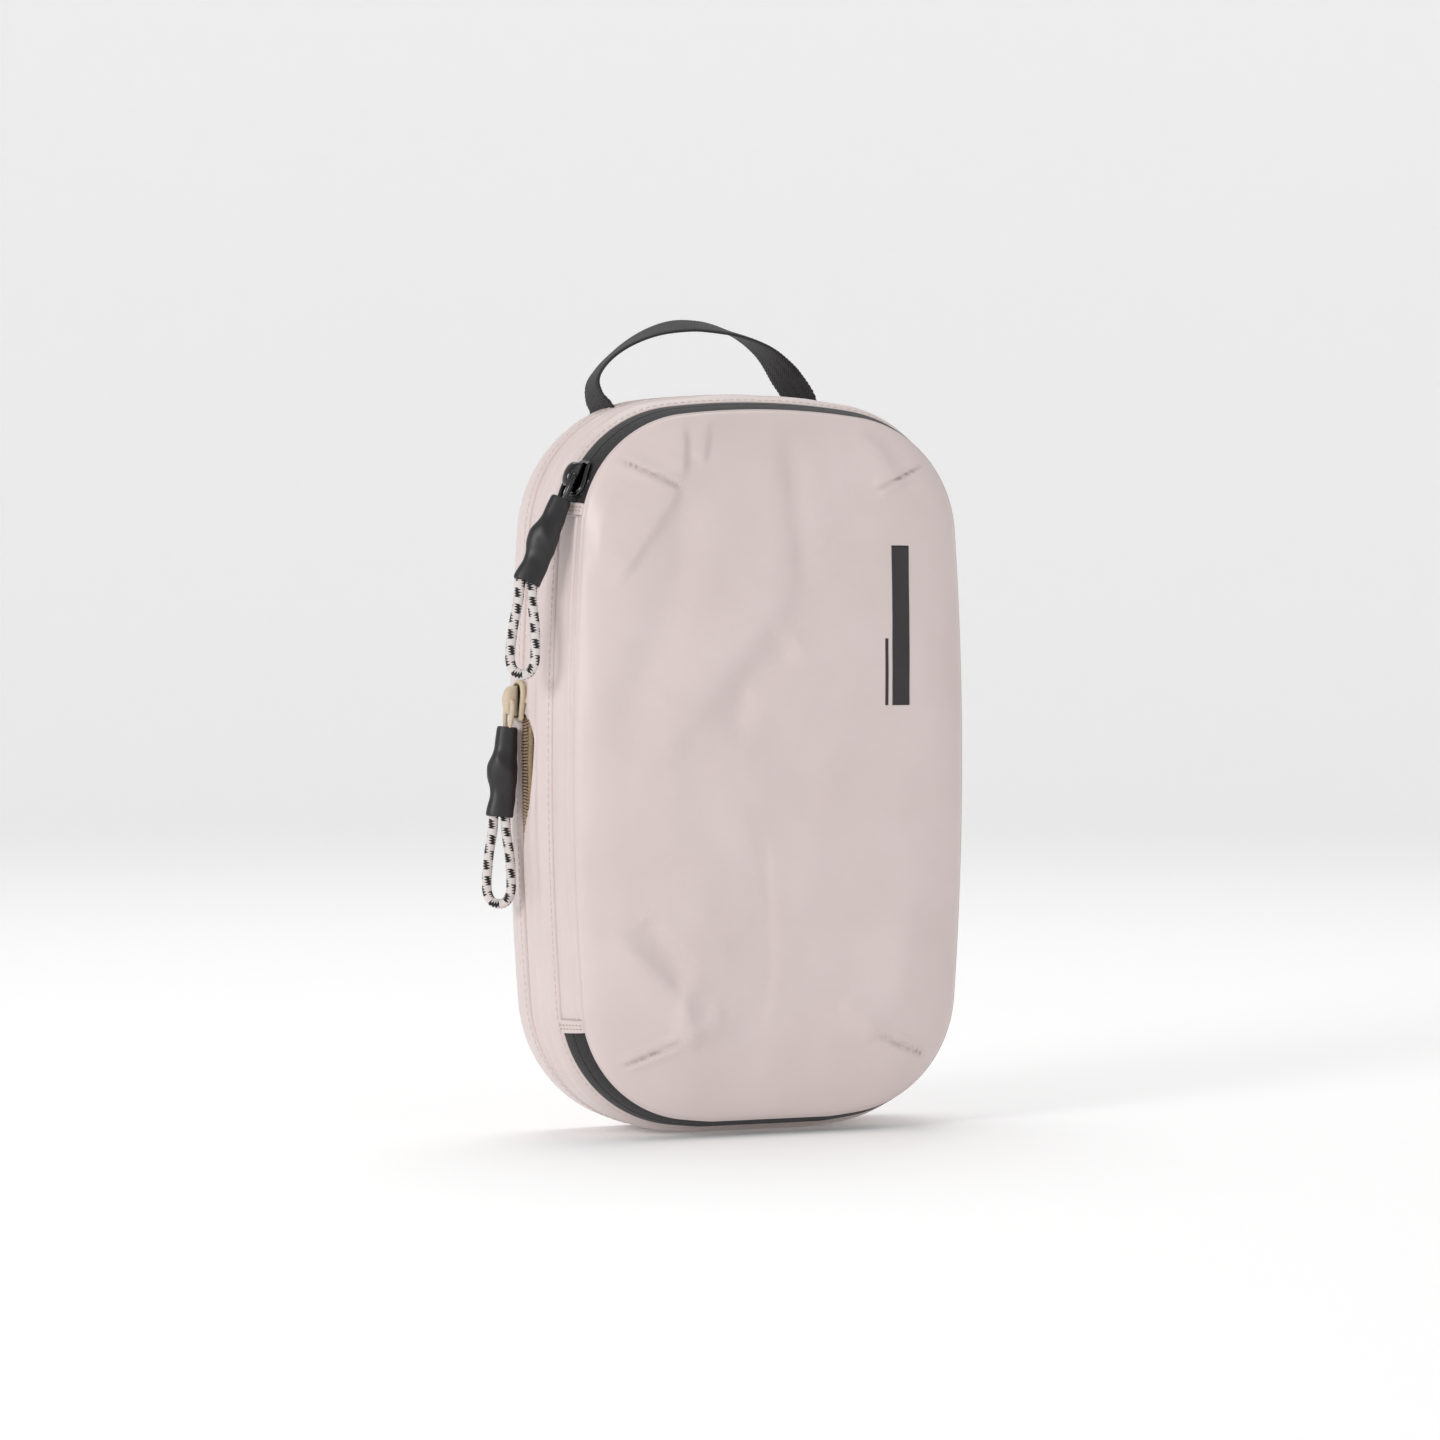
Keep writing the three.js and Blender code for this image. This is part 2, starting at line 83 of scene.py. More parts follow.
BACK_FACE = box_mm("back_panel")[1][1]
EXPANSION_SEAM = (BAND_LOW[1] + box_mm("front_gusset")[1][1]) / 2
GUSSET_FRONT = box_mm("front_gusset")[0][1]
TAPE_REAR = box_mm("main_zip_tape_shell")[1][1]
TAPE_FRONT = box_mm("main_zip_tape_lid")[0][1]
SLIT_CENTRE = (TAPE_REAR + TAPE_FRONT) / 2
LID_RIM = box_mm("front_panel")[1][1]
LID_CROWN = 11.2
INSET_GUSSET = 2.8
INSET_LID = 6.2
ZIP_END = 168.0
FLOOR_CLEAR = 0.02

PULLS = {
    "main": {"slider_at": 154.5, "lean": 24.0, "loop_lean": 3.0},
    "expansion": {"slider_z": 149.5, "lean": 5.5, "loop_lean": 0.5},
}
# The grips and loops have turned on their own axis, so their flat side faces the front left.
PULL_TWIST = 68.0
LINK_LENGTH = 9.0
SLEEVE_LENGTH = 31.0
PART_GAP = 0.3
CORD = 3.4
LOOP_LENGTH = 31.0
LOOP_HALF_WIDTH = 4.2
CROWN_FOOT = {"main": 2.3, "expansion": 2.0}
CROWN_EYE = 2.3
LINK_HALF_WIDTH = 3.4
LINK_WIRE = 0.85
# Width across the gap where the expansion zip stands open, at its widest.
ZIP_OPENING = 11.0
CLOTH = 0.8


def corner_centre():
    """Centre of the corner arc that touches the side arc and the top arc from inside."""
    from_side = SIDE_RADIUS - CORNER_RADIUS
    from_top = TOP_RADIUS - CORNER_RADIUS
    apart = math.hypot(SIDE_CENTRE, TOP_CENTRE)
    along = (from_side**2 - from_top**2 + apart**2) / (2 * apart)
    across = math.sqrt(from_side**2 - along**2)
    ux, uz = -SIDE_CENTRE / apart, TOP_CENTRE / apart
    return SIDE_CENTRE + along * ux - across * uz, along * uz + across * ux


CORNER_X, CORNER_Z = corner_centre()
SIDE_END = math.atan2(CORNER_Z, CORNER_X - SIDE_CENTRE)
TOP_START = math.atan2(CORNER_Z - TOP_CENTRE, CORNER_X)


def outline(phi, inset):
    """Points whose outward normal turns to phi (radians), moved inwards by inset; flat on the floor."""
    cosine, sine = np.cos(phi), np.sin(phi)
    quarter = np.arctan2(np.abs(sine), np.abs(cosine))
    side, top = quarter < SIDE_END, quarter > TOP_START
    cx = np.where(side, SIDE_CENTRE, np.where(top, 0.0, CORNER_X))
    cz = np.where(side, 0.0, np.where(top, TOP_CENTRE, CORNER_Z))
    radius = np.where(side, SIDE_RADIUS, np.where(top, TOP_RADIUS, CORNER_RADIUS)) - inset
    x = np.sign(cosine) * (cx + radius * np.cos(quarter))
    z = MIDDLE_Z + np.sign(sine) * (cz + radius * np.sin(quarter))
    return x, np.maximum(z, np.maximum(inset, 0.0) + FLOOR_CLEAR)


def stations(step, start=-90.0, end=270.0):
    """Normals at even steps along the outline, in radians."""
    dense = np.radians(np.linspace(start, end, 24000))
    x, z = outline(dense, 0.0)
    run = np.concatenate([[0.0], np.cumsum(np.hypot(np.diff(x), np.diff(z)))])
    count = int(round(run[-1] / step))
    return np.interp(np.linspace(0.0, run[-1], count + 1), run, dense)


def ring_stations(step):
    return stations(step)[:-1]


def slope_inset(y):
    """Inset of the sloping front part at depth y."""
    return INSET_GUSSET + (INSET_LID - INSET_GUSSET) * (TAPE_REAR - y) / (TAPE_REAR - TAPE_FRONT)


def smooth(edge_a, edge_b, value):
    share = np.clip((value - edge_a) / (edge_b - edge_a), 0.0, 1.0)
    return share * share * (3 - 2 * share)


def distances(points):
    """Distance run along a line of points, at each of them."""
    return np.concatenate([[0.0], np.cumsum(np.linalg.norm(np.diff(points, axis=0), axis=1))])


def tangents(path):
    tangent = np.gradient(path, axis=0)
    return tangent / np.linalg.norm(tangent, axis=1, keepdims=True)


def squared(wave, power):
    """Cosine or sine drawn out towards the sides of a rounded square."""
    return np.sign(wave) * np.abs(wave) ** power


def spline(points, count):
    """Even points on a smooth curve through the given ones."""
    knots = np.array(points, float)
    padded = np.vstack([2 * knots[0] - knots[1], knots, 2 * knots[-1] - knots[-2]])
    pieces = []
    for index in range(len(knots) - 1):
        a, b, c, d = padded[index : index + 4]
        t = np.linspace(0, 1, 24, endpoint=False)[:, None]
        pieces.append(
            0.5 * (2 * b + (c - a) * t + (2 * a - 5 * b + 4 * c - d) * t**2 + (3 * b - a - 3 * c + d) * t**3)
        )
    dense = np.vstack(pieces + [knots[-1:]])
    run = distances(dense)
    even = np.linspace(0.0, run[-1], count)
    return np.stack([np.interp(even, run, dense[:, axis]) for axis in range(knots.shape[1])], -1)


def rumple(points, size, seed):
    """Smooth noise between -1 and 1 at each point, with lumps of the given size in millimetres."""
    flat = points.reshape(-1, 3) / size + seed * 17.3
    values = np.array([noise.noise(Vector(point)) for point in flat])
    return values.reshape(points.shape[:-1])


# ---------- mesh building ----------
def mesh_object(name, vertices, faces, material, uv=None):
    """Object at the origin from points in millimetres; uv holds one pair for each vertex."""
    mesh = bpy.data.meshes.new(name)
    mesh.from_pydata((np.asarray(vertices) * MM).tolist(), [], faces)
    if uv is not None:
        layer = mesh.uv_layers.new(name="weave")
        loops = np.zeros(len(mesh.loops), dtype=np.int32)
        mesh.loops.foreach_get("vertex_index", loops)
        layer.data.foreach_set("uv", np.asarray(uv, float)[loops].ravel())
    mesh.polygons.foreach_set("use_smooth", [True] * len(mesh.polygons))
    mesh.materials.append(material)
    mesh.update()
    piece = bpy.data.objects.new(name, mesh)
    bpy.context.scene.collection.objects.link(piece)
    return piece


def grid_faces(rows, columns, loop_rows, loop_columns):
    faces = []
    for row in range(rows if loop_rows else rows - 1):
        low, high = row * columns, (row + 1) % rows * columns
        for column in range(columns if loop_columns else columns - 1):
            right = (column + 1) % columns
            faces.append((low + column, high + column, high + right, low + right))
    return faces


def capped_faces(rows, columns):
    """Faces through closed rings of points, with a flat face over each end."""
    faces = grid_faces(rows, columns, False, True)
    faces.append(tuple(range(columns)))
    faces.append(tuple((rows - 1) * columns + index for index in range(columns)))
    return faces


def is_inside_out(points, faces):
    """True if a closed skin's faces point inwards."""
    volume = 0.0
    for face in faces:
        a = points[face[0]]
        for index in range(1, len(face) - 1):
            volume += np.dot(a, np.cross(points[face[index]], points[face[index + 1]]))
    return volume < 0


def closed_object(name, points, faces, material, uv=None):
    points = np.asarray(points)
    if is_inside_out(points, faces):
        faces = [tuple(reversed(face)) for face in faces]
    return mesh_object(name, points, faces, material, uv)


def skin(grid, inward, thickness):
    """Outer face followed by the inner one in reverse, so that each row closes on itself."""
    back = grid + inward * thickness
    return np.concatenate([grid, back[:, ::-1]], axis=1)


def cloth(name, grid, thickness, finish_name, inward, loop_rows=True):
    """Closed skin of the given thickness; grid is its outer face and inward a vector field."""
    rows, columns = grid.shape[:2]
    uv = wall_uv(grid)
    pairs = np.concatenate([uv, uv[:, ::-1]], axis=1).reshape(-1, 2)
    if loop_rows:
        faces = grid_faces(rows, 2 * columns, True, True)
    else:
        faces = capped_faces(rows, 2 * columns)
    section = skin(grid, inward, thickness)
    return closed_object(name, section.reshape(-1, 3), faces, FINISHES[finish_name], pairs)


def wall_grid(phis, profile, swell=None, shift=None):
    """Profile of [inset, y] pairs carried along the outline, swollen outwards and shifted along Y."""
    phi, inset = np.meshgrid(phis, profile[:, 0], indexing="ij")
    y = np.broadcast_to(profile[:, 1], phi.shape).copy()
    x, z = outline(phi, 0.0)
    plain = np.stack([x, y, z], -1)
    if swell:
        inset = inset - swell(plain)
    if shift:
        y = y + shift(plain)
    x, z = outline(phi, inset)
    return np.stack([x, y, z], -1)


def wall_uv(grid):
    along = np.linalg.norm(np.diff(grid[:, :1], axis=0), axis=-1)
    u = np.concatenate([[[0.0]], np.cumsum(along, axis=0)])
    across = np.linalg.norm(np.diff(grid, axis=1), axis=-1)
    v = np.concatenate([np.zeros((grid.shape[0], 1)), np.cumsum(across, axis=1)], axis=1)
    return np.stack([np.broadcast_to(u, v.shape), v], -1) * MM


def inward_field(grid):
    """Unit vectors from the outline towards the middle of the bag, level with the floor plane."""
    middle = np.array([0.0, 0.0, MIDDLE_Z])
    pull = middle - grid
    pull[..., 1] = 0
    pull[..., 2] *= 0.62
    return pull / np.maximum(np.linalg.norm(pull, axis=-1, keepdims=True), 1e-9)


def tube_mesh(path, radius, sides=12, ripple=None):
    """Points, faces and uv of a capped tube along a path; ripple(run, turns) scales the radius."""
    path = np.asarray(path, float)
    tangent = tangents(path)
    side = np.array((1.0, 0.0, 0.0))
    rings, pairs = [], []
    run = distances(path)
    turns = np.linspace(0, 2 * math.pi, sides, endpoint=False)
    for index, centre in enumerate(path):
        side = side - tangent[index] * np.dot(side, tangent[index])
        side /= np.linalg.norm(side)
        other = np.cross(tangent[index], side)
        scale = radius if ripple is None else radius * ripple(run[index], turns)
        scale = np.broadcast_to(scale, turns.shape)[:, None]
        rings.append(centre + scale * (np.cos(turns)[:, None] * side + np.sin(turns)[:, None] * other))
        pairs.append(np.stack([turns / (2 * math.pi), np.full(sides, run[index])], -1))
    return np.vstack(rings), capped_faces(len(path), sides), np.vstack(pairs)


def sections_object(name, sections, material, uv=None):
    """Closed body through equal closed sections, with flat ends."""
    faces = capped_faces(*sections.shape[:2])
    return closed_object(name, sections.reshape(-1, 3), faces, material, uv)


def finish(piece, body, slot, *nodes):
    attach(piece, body)
    if nodes:
        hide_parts(*nodes)
    return piece


# ---------- materials ----------
def linear(hex_colour):
    """sRGB hex to linear RGBA."""
    channels = [int(hex_colour[index : index + 2], 16) / 255 for index in (1, 3, 5)]
    return tuple(c / 12.92 if c <= 0.04045 else ((c + 0.055) / 1.055) ** 2.4 for c in channels) + (1.0,)


def add_node(tree, kind, inputs=None, **settings):
    """Node with its settings; inputs maps a socket's name or number to a value or to another socket."""
    node = tree.nodes.new(kind)
    for name, value in settings.items():
        setattr(node, name, value)
    for name, value in (inputs or {}).items():
        if isinstance(value, bpy.types.NodeSocket):
            tree.links.new(value, node.inputs[name])
        else:
            node.inputs[name].default_value = value
    return node


def new_material(name, roughness, metallic=0.0, ior=1.5, sheen=0.0, coat=0.0):
    material = bpy.data.materials.new(name)
    material.use_nodes = True
    tree = material.node_tree
    shader = tree.nodes["Principled BSDF"]
    shader.inputs["Roughness"].default_value = roughness
    shader.inputs["Metallic"].default_value = metallic
    shader.inputs["IOR"].default_value = ior
    shader.inputs["Sheen Weight"].default_value = sheen
    shader.inputs["Coat Weight"].default_value = coat
    return material, tree, shader


def math_node(tree, operation, first, second=0.0):
    return add_node(tree, "ShaderNodeMath", {0: first, 1: second}, operation=operation).outputs[0]


def mix_colours(tree, shader, factor, low, high):
    """Base colour between two hex colours, by a factor from 0 to 1."""
    node = add_node(tree, "ShaderNodeMix", {"Factor": factor}, data_type="RGBA")
    ends = [socket for socket in node.inputs if socket.type == "RGBA"]
    ends[0].default_value = linear(low)
    ends[1].default_value = linear(high)
    result = [socket for socket in node.outputs if socket.type == "RGBA"][0]
    tree.links.new(result, shader.inputs["Base Color"])


def cloud(tree, scale, detail):
    """Noise that stays with the piece, from 0 to 1."""
    place = add_node(tree, "ShaderNodeTexCoord")
    inputs = {"Vector": place.outputs["Object"], "Scale": scale, "Detail": detail}
    return add_node(tree, "ShaderNodeTexNoise", inputs).outputs["Fac"]


def weave_axes(tree, turn=0.0):
    """The two directions of a piece's own weave, in metres."""
    place = add_node(tree, "ShaderNodeTexCoord")
    placed = add_node(tree, "ShaderNodeMapping", {"Vector": place.outputs["UV"], "Rotation": (0, 0, turn)})
    parts = add_node(tree, "ShaderNodeSeparateXYZ", {0: placed.outputs[0]})
    return parts.outputs[0], parts.outputs[1]


def bump(tree, shader, height, distance, strength=1.0):
    node = add_node(tree, "ShaderNodeBump", {"Height": height, "Distance": distance, "Strength": strength})
    tree.links.new(node.outputs["Normal"], shader.inputs["Normal"])


def threads(tree, spacing_mm, turn=0.0):
    """Plain weave: crossed threads at the given spacing, from -1 to 1."""
    across, along = weave_axes(tree, turn)
    wave = 2 * math.pi / (spacing_mm * MM)
    warp = math_node(tree, "SINE", math_node(tree, "MULTIPLY", across, wave))
    weft = math_node(tree, "SINE", math_node(tree, "MULTIPLY", along, wave))
    return math_node(tree, "MULTIPLY", warp, weft)


def coated_nylon(name, light, dark, roughness=0.4):
    """Thin nylon with a polyurethane coat: smooth soft gloss, faint threads, slightly uneven tone."""
    material, tree, shader = new_material(name, roughness, ior=1.48, sheen=0.12)
    mix_colours(tree, shader, cloud(tree, 28.0, 5.0), light, dark)
    # The real threads are 0.2 mm apart; they are drawn at 0.8 mm so that they show.
    weave = math_node(tree, "MULTIPLY", threads(tree, 0.8), 0.5)
    height = math_node(tree, "ADD", weave, cloud(tree, 900.0, 3.0))
    bump(tree, shader, height, 0.00003, 0.45)
    return material


def woven_tape(name, light, dark):
    """Polyester zip tape: matt, with fine slanted ribs and paler flecks where threads cross."""
    material, tree, shader = new_material(name, 0.78, sheen=0.08)
    weave = math_node(tree, "MULTIPLY", threads(tree, 0.9, math.radians(35)), 0.3)
    mixed = math_node(tree, "ADD", weave, cloud(tree, 1500.0, 2.0))
    ramp = add_node(tree, "ShaderNodeValToRGB", {"Fac": mixed})
    for end, position, colour in zip(ramp.color_ramp.elements, (0.35, 0.85), (dark, light)):
        end.position = position
        end.color = linear(colour)
    tree.links.new(ramp.outputs[0], shader.inputs["Base Color"])
    bump(tree, shader, mixed, 0.00008, 0.7)
    return material


def herringbone_webbing(name, light, dark):
    """Nylon webbing: chevron rows of twill down its length, with painted shine: the raised yarns are painted
    lighter.
    """
    material, tree, shader = new_material(name, 0.62, sheen=0.08)
    across, along = weave_axes(tree)
    row = 3.1 * MM
    yarn = 1.3 * MM
    share = math_node(tree, "FRACT", math_node(tree, "DIVIDE", across, row))
    fold = math_node(tree, "ABSOLUTE", math_node(tree, "SUBTRACT", share, 0.5))
    run = math_node(tree, "ADD", along, math_node(tree, "MULTIPLY", fold, 1.5 * row))
    stripes = math_node(tree, "SINE", math_node(tree, "MULTIPLY", run, 2 * math.pi / yarn))
    raised = math_node(tree, "ADD", math_node(tree, "MULTIPLY", stripes, 0.5), 0.5)
    # Painted shine: the raised yarns take the lighter colour.
    mix_colours(tree, shader, raised, dark, light)
    bump(tree, shader, raised, 0.00025, 1.0)
    return material


def braided_cord(name, pale, dark):
    """Round braided cord: pale sheath with short dark zigzag flecks from its marker yarns."""
    material, tree, shader = new_material(name, 0.85, sheen=0.3)
    turn, run = weave_axes(tree)
    # Three marker yarns wind round the sheath once in 42 mm and show for 3 mm of every 5.4 mm.
    wound = math_node(tree, "MULTIPLY_ADD", turn, 3.0)
    tree.links.new(math_node(tree, "MULTIPLY", run, 3 / 42), wound.node.inputs[2])
    lane = math_node(tree, "FRACT", wound)
    saw = math_node(tree, "PINGPONG", run, 0.45)
    jag = math_node(tree, "MULTIPLY", math_node(tree, "SUBTRACT", saw, 0.22), 0.8)
    off_centre = math_node(tree, "SUBTRACT", math_node(tree, "ADD", lane, jag), 0.5)
    band = math_node(tree, "LESS_THAN", math_node(tree, "ABSOLUTE", off_centre), 0.29)
    stagger = math_node(tree, "MULTIPLY", math_node(tree, "FLOOR", wound), 0.37)
    beat = math_node(tree, "FRACT", math_node(tree, "ADD", math_node(tree, "DIVIDE", run, 5.4), stagger))
    shown = math_node(tree, "LESS_THAN", beat, 0.6)
    mix_colours(tree, shader, math_node(tree, "MULTIPLY", band, shown), pale, dark)
    bump(tree, shader, cloud(tree, 2600.0, 2.0), 0.00012, 0.6)
    return material


def moulded(name, colour, dark, roughness, grain_mm, depth_mm, metallic=0.0, coat=0.0):
    """Moulded or die-cast surface: even colour with a fine grain and slightly uneven gloss."""
    material, tree, shader = new_material(name, roughness, metallic=metallic, coat=coat)
    grain = cloud(tree, 1 / (grain_mm * MM), 4.0)
    mix_colours(tree, shader, grain, dark, colour)
    span = {"Value": grain, "To Min": roughness * 0.85, "To Max": roughness * 1.15}
    spread = add_node(tree, "ShaderNodeMapRange", span)
    tree.links.new(spread.outputs[0], shader.inputs["Roughness"])
    bump(tree, shader, grain, depth_mm * MM, 0.6)
    return material


FINISHES = {}


def build_finishes(bag):
    """Every material of the bag, with what each gives the eye."""
    FINISHES.update(
        # Pale, pinkish ivory with a soft gloss.
        ivory=coated_nylon("ivory coated nylon", bag.fabric, bag.fabric_shade),
        # The same, stretched over the lid, so its folds catch a slightly sharper light.
        lid=coated_nylon("ivory coated nylon, lid", bag.fabric, bag.fabric_shade, 0.36),
        # Dull black band with grey flecks.
        black_tape=woven_tape("black zip tape", "#343033", "#0a090a"),
        # Tan tape that shows where the expansion zip stands open.
        beige_tape=woven_tape("beige zip tape", "#bda88f", "#96805f"),
        # Small dark glints between the black tapes.
        black_coil=moulded("black nylon coil", "#202022", "#141416", 0.4, 0.8, 0.02),
        # Fine tan line round the bag.
        beige_coil=moulded("beige nylon coil", "#b39a80", "#8e765c", 0.45, 0.8, 0.02),
        # Stitches that nearly vanish in the cloth.
        thread=moulded("ivory sewing thread", "#ded2cc", "#cbbeb5", 0.75, 0.5, 0.05),
        # Stitches that stand out on the hems and darts.
        tan_thread=moulded("tan sewing thread", "#bb9c83", "#a08369", 0.8, 0.5, 0.05),
        # Black with a chevron grain on the twisted handle, and painted shine on its raised yarns.
        webbing=herringbone_webbing("black herringbone webbing", "#292629", "#080809"),
        # Lively pale and dark flecks on the loops.
        cord=braided_cord("braided cord", "#d3cbc8", "#120f11"),
        # Satin black grips, softer than the metal.
        rubber=moulded("soft black moulding", "#1e1c1f", "#171518", 0.42, 2.5, 0.04),
        # The glossiest black, with sharp highlights.
        black_metal=moulded("black lacquered die-cast zinc", "#0d0d0f", "#08080a", 0.16, 1.5, 0.01, 0.3, 0.6),
        # Satin beige paint on the lower slider.
        beige_metal=moulded("beige painted die-cast zinc", "#cfbfa6", "#c0af95", 0.42, 1.2, 0.02),
        # Flat dark bars on the lid.
        print=moulded("dark rubber print", "#2b2728", "#1f1c1d", 0.5, 0.7, 0.02),
    )


# ---------- settings ----------
class PackingCubeSettings(bpy.types.PropertyGroup):
    """Sizes and colours of the soft parts."""

    fabric: StringProperty(name="Fabric", description="Light tone of the coated nylon", default="#d9cbc9")
    fabric_shade: StringProperty(
        name="Fabric shade", description="Darker tone of the coated nylon", default="#cbbcb9"
    )
    crease_depth: FloatProperty(
        name="Crease depth", description="How strongly the lid is creased", default=1.3, min=0.0, max=2.0
    )
    puff: FloatProperty(
        name="Rear puff",
        description="How far the rear band swells out",
        default=0.0012,
        min=0.0,
        max=0.004,
        unit="LENGTH",
    )
    stitch_pitch: FloatProperty(
        name="Stitch length",
        description="Distance between stitches",
        default=0.0026,
        min=0.001,
        unit="LENGTH",
    )
    coil_pitch: FloatProperty(
        name="Coil pitch", description="Distance between zip teeth", default=0.0011, min=0.0008, unit="LENGTH"
    )
    floor: FloatVectorProperty(
        name="Floor", description="Colour of the floor", subtype="COLOR", default=(0.97, 0.97, 0.97)
    )


# ---------- stage ----------
class PACKINGCUBE_OT_stage(bpy.types.Operator):
    """Pale round sweep, soft light and the camera"""

    bl_idname = "packingcube.stage"
    bl_label = "Stage"

    def execute(self, context):
        bag = context.scene.packing_cube
        material, _, shader = new_material("pale matt floor", 0.9)
        shader.inputs["Base Color"].default_value = (*bag.floor, 1.0)
        shader.inputs["Emission Color"].default_value = (1.0, 1.0, 1.0, 1.0)
        shader.inputs["Emission Strength"].default_value = 0.1
        rise = np.linspace(0.0, math.pi / 2, 14)
        curve = [(2.4 + math.sin(a), 1 - math.cos(a)) for a in rise]
        profile = [(0.4, 0.0), (1.6, 0.0), *curve, (3.4, 1.5)]
        turns = np.linspace(0, 2 * math.pi, 72, endpoint=False)
        points = [(r * math.cos(t), r * math.sin(t), z) for r, z in profile for t in turns]
        faces = grid_faces(len(profile), len(turns), False, True)
        faces.append(tuple(range(len(turns))))
        sweep = mesh_object("round_sweep", np.array(points) / MM, faces, material)
        self.lights(context)
        self.camera(context)
        return {"FINISHED"}

    def lights(self, context):
        aim = Vector((0.0, 0.0, 0.13))
        for name, place, size, power in (
            ("left softbox", (-2.0, -1.0, 0.85), 0.7, 19.0),
            ("right softbox", (1.5, -1.6, 0.8), 1.4, 1.5),
            ("top softbox", (0.2, 0.6, 1.9), 1.2, 10.0),
        ):
            light = bpy.data.lights.new(name, "AREA")
            light.shape = "SQUARE"
            light.size = size
            light.energy = power
            lamp = bpy.data.objects.new(name, light)
            lamp.location = place
            lamp.rotation_euler = (aim - Vector(place)).to_track_quat("-Z", "Y").to_euler()
            context.scene.collection.objects.link(lamp)
        world = bpy.data.worlds.new("soft room")
        world.use_nodes = True
        world.node_tree.nodes["Background"].inputs["Color"].default_value = (1.0, 1.0, 1.0, 1.0)
        world.node_tree.nodes["Background"].inputs["Strength"].default_value = 0.56
        context.scene.world = world
        context.scene.view_settings.view_transform = "Standard"

    def camera(self, context):
        turn, lift, away = math.radians(-22.1), math.radians(1.7), 1.46
        back = Vector(
            (math.sin(turn) * math.cos(lift), -math.cos(turn) * math.cos(lift), math.sin(lift))
        )
        data = bpy.data.cameras.new("camera")
        data.sensor_width = 36.0
        data.lens = 104.6
        data.shift_x, data.shift_y = -0.0156, 0.0308
        camera = bpy.data.objects.new("camera", data)
        camera.location = Vector((0.0, 0.0, MIDDLE_Z * MM)) + back * away
        camera.rotation_euler = (-back).to_track_quat("-Z", "Y").to_euler()
        context.scene.collection.objects.link(camera)
        context.scene.camera = camera


# ---------- pulls ----------
def slider_frame(which):
    """Place of a slider: local X out of the bag, Y across the zip and Z along it, in millimetres."""
    if which == "main":
        phi = math.radians(PULLS["main"]["slider_at"])
        inset, y = slope_inset(SLIT_CENTRE), SLIT_CENTRE
        tilt = math.atan2(INSET_LID - INSET_GUSSET, TAPE_REAR - TAPE_FRONT)
    else:
        phi = math.pi - math.asin((PULLS["expansion"]["slider_z"] - MIDDLE_Z) / SIDE_RADIUS)
        inset, y, tilt = 0.0, EXPANSION_SEAM, 0.0
    x, z = outline(np.array(phi), inset)
    turn = Matrix.Rotation(-phi, 4, "Y") @ Matrix.Rotation(-tilt, 4, "Z")
    return Matrix.Translation((float(x), y, float(z))) @ turn


def pull_frame(which):
    """Place of a pull: origin on its pivot, local -Z down its length."""
    rise = CROWN_FOOT[which] + PART_GAP + CROWN_EYE
    pivot = slider_frame(which) @ Vector((rise, 0.0, 0.0))
    return Matrix.Translation(pivot) @ Matrix.Rotation(math.radians(PULLS[which]["lean"]), 4, "Y")


def loop_frame(which):
    """Place of a cord loop: origin at the end of its grip, turned to face the front left, nearly plumb."""
    back = math.radians(PULLS[which]["loop_lean"] - PULLS[which]["lean"])
    hang = Matrix.Rotation(back, 4, "Y") @ Matrix.Rotation(math.radians(PULL_TWIST), 4, "Z")
    return pull_frame(which) @ Matrix.Translation((0.0, 0.0, -LINK_LENGTH - SLEEVE_LENGTH)) @ hang


def moved(points, matrix):
    points = np.asarray(points, float)
    flat = points.reshape(-1, 3) @ np.array(matrix.to_3x3()).T + np.array(matrix.translation)
    return flat.reshape(points.shape)


def loop_route(which):
    """Centre line of a cord loop below its grip, as [across, up] pairs."""
    bend = math.radians(PULLS[which]["lean"] - PULLS[which]["loop_lean"])
    top = -PART_GAP - 4 * math.sin(bend)
    end = top - LOOP_LENGTH + CORD / 2
    half = [(2.05, top), (2.4, top - 5), (3.6, top - 13), (LOOP_HALF_WIDTH, end + 6), (2.9, end + 1.4)]
    return half + [(0.0, end)] + [(-y, z) for y, z in reversed(half)]


class PACKINGCUBE_OT_cords(bpy.types.Operator):
    """Braided cord loops of the two pulls"""

    bl_idname = "packingcube.cords"
    bl_label = "Cord loops"

    def execute(self, context):
        def braid(run, turns):
            strands = np.cos(8 * turns + run * 3.0) * np.cos(8 * turns - run * 3.0)
            return 1.0 + 0.05 * strands

        for which, body in (("main", "main_pull"), ("expansion", "expansion_pull")):
            pairs = loop_route(which)
            into_grip = (pairs[0][0] - 0.25, pairs[0][1] + 3.2)
            pairs = [into_grip, *pairs, (-into_grip[0], into_grip[1])]
            path = moved(spline([(0.0, y, z) for y, z in pairs], 150), loop_frame(which))
            points, faces, pairs = tube_mesh(path, CORD / 2 * 0.97, 32, braid)
            cord = closed_object(f"{which}_cord_loop", points, faces, FINISHES["cord"], pairs)
            finish(cord, body, "cord", f"{which}_pull_cord")
        return {"FINISHED"}


# Half width of a moulded grip at each distance from its top.
GRIP_WIDTHS = (
    (0, 3.3), (0.5, 3.55), (1.2, 3.65), (4, 3.8), (8, 4.05), (10.5, 4.4), (13.5, 5.2), (16, 5.25),
    (18.5, 5.1), (21, 4.55), (23.5, 4.4), (27, 4.6), (30, 4.75), (30.7, 4.7), (31, 4.45),
)


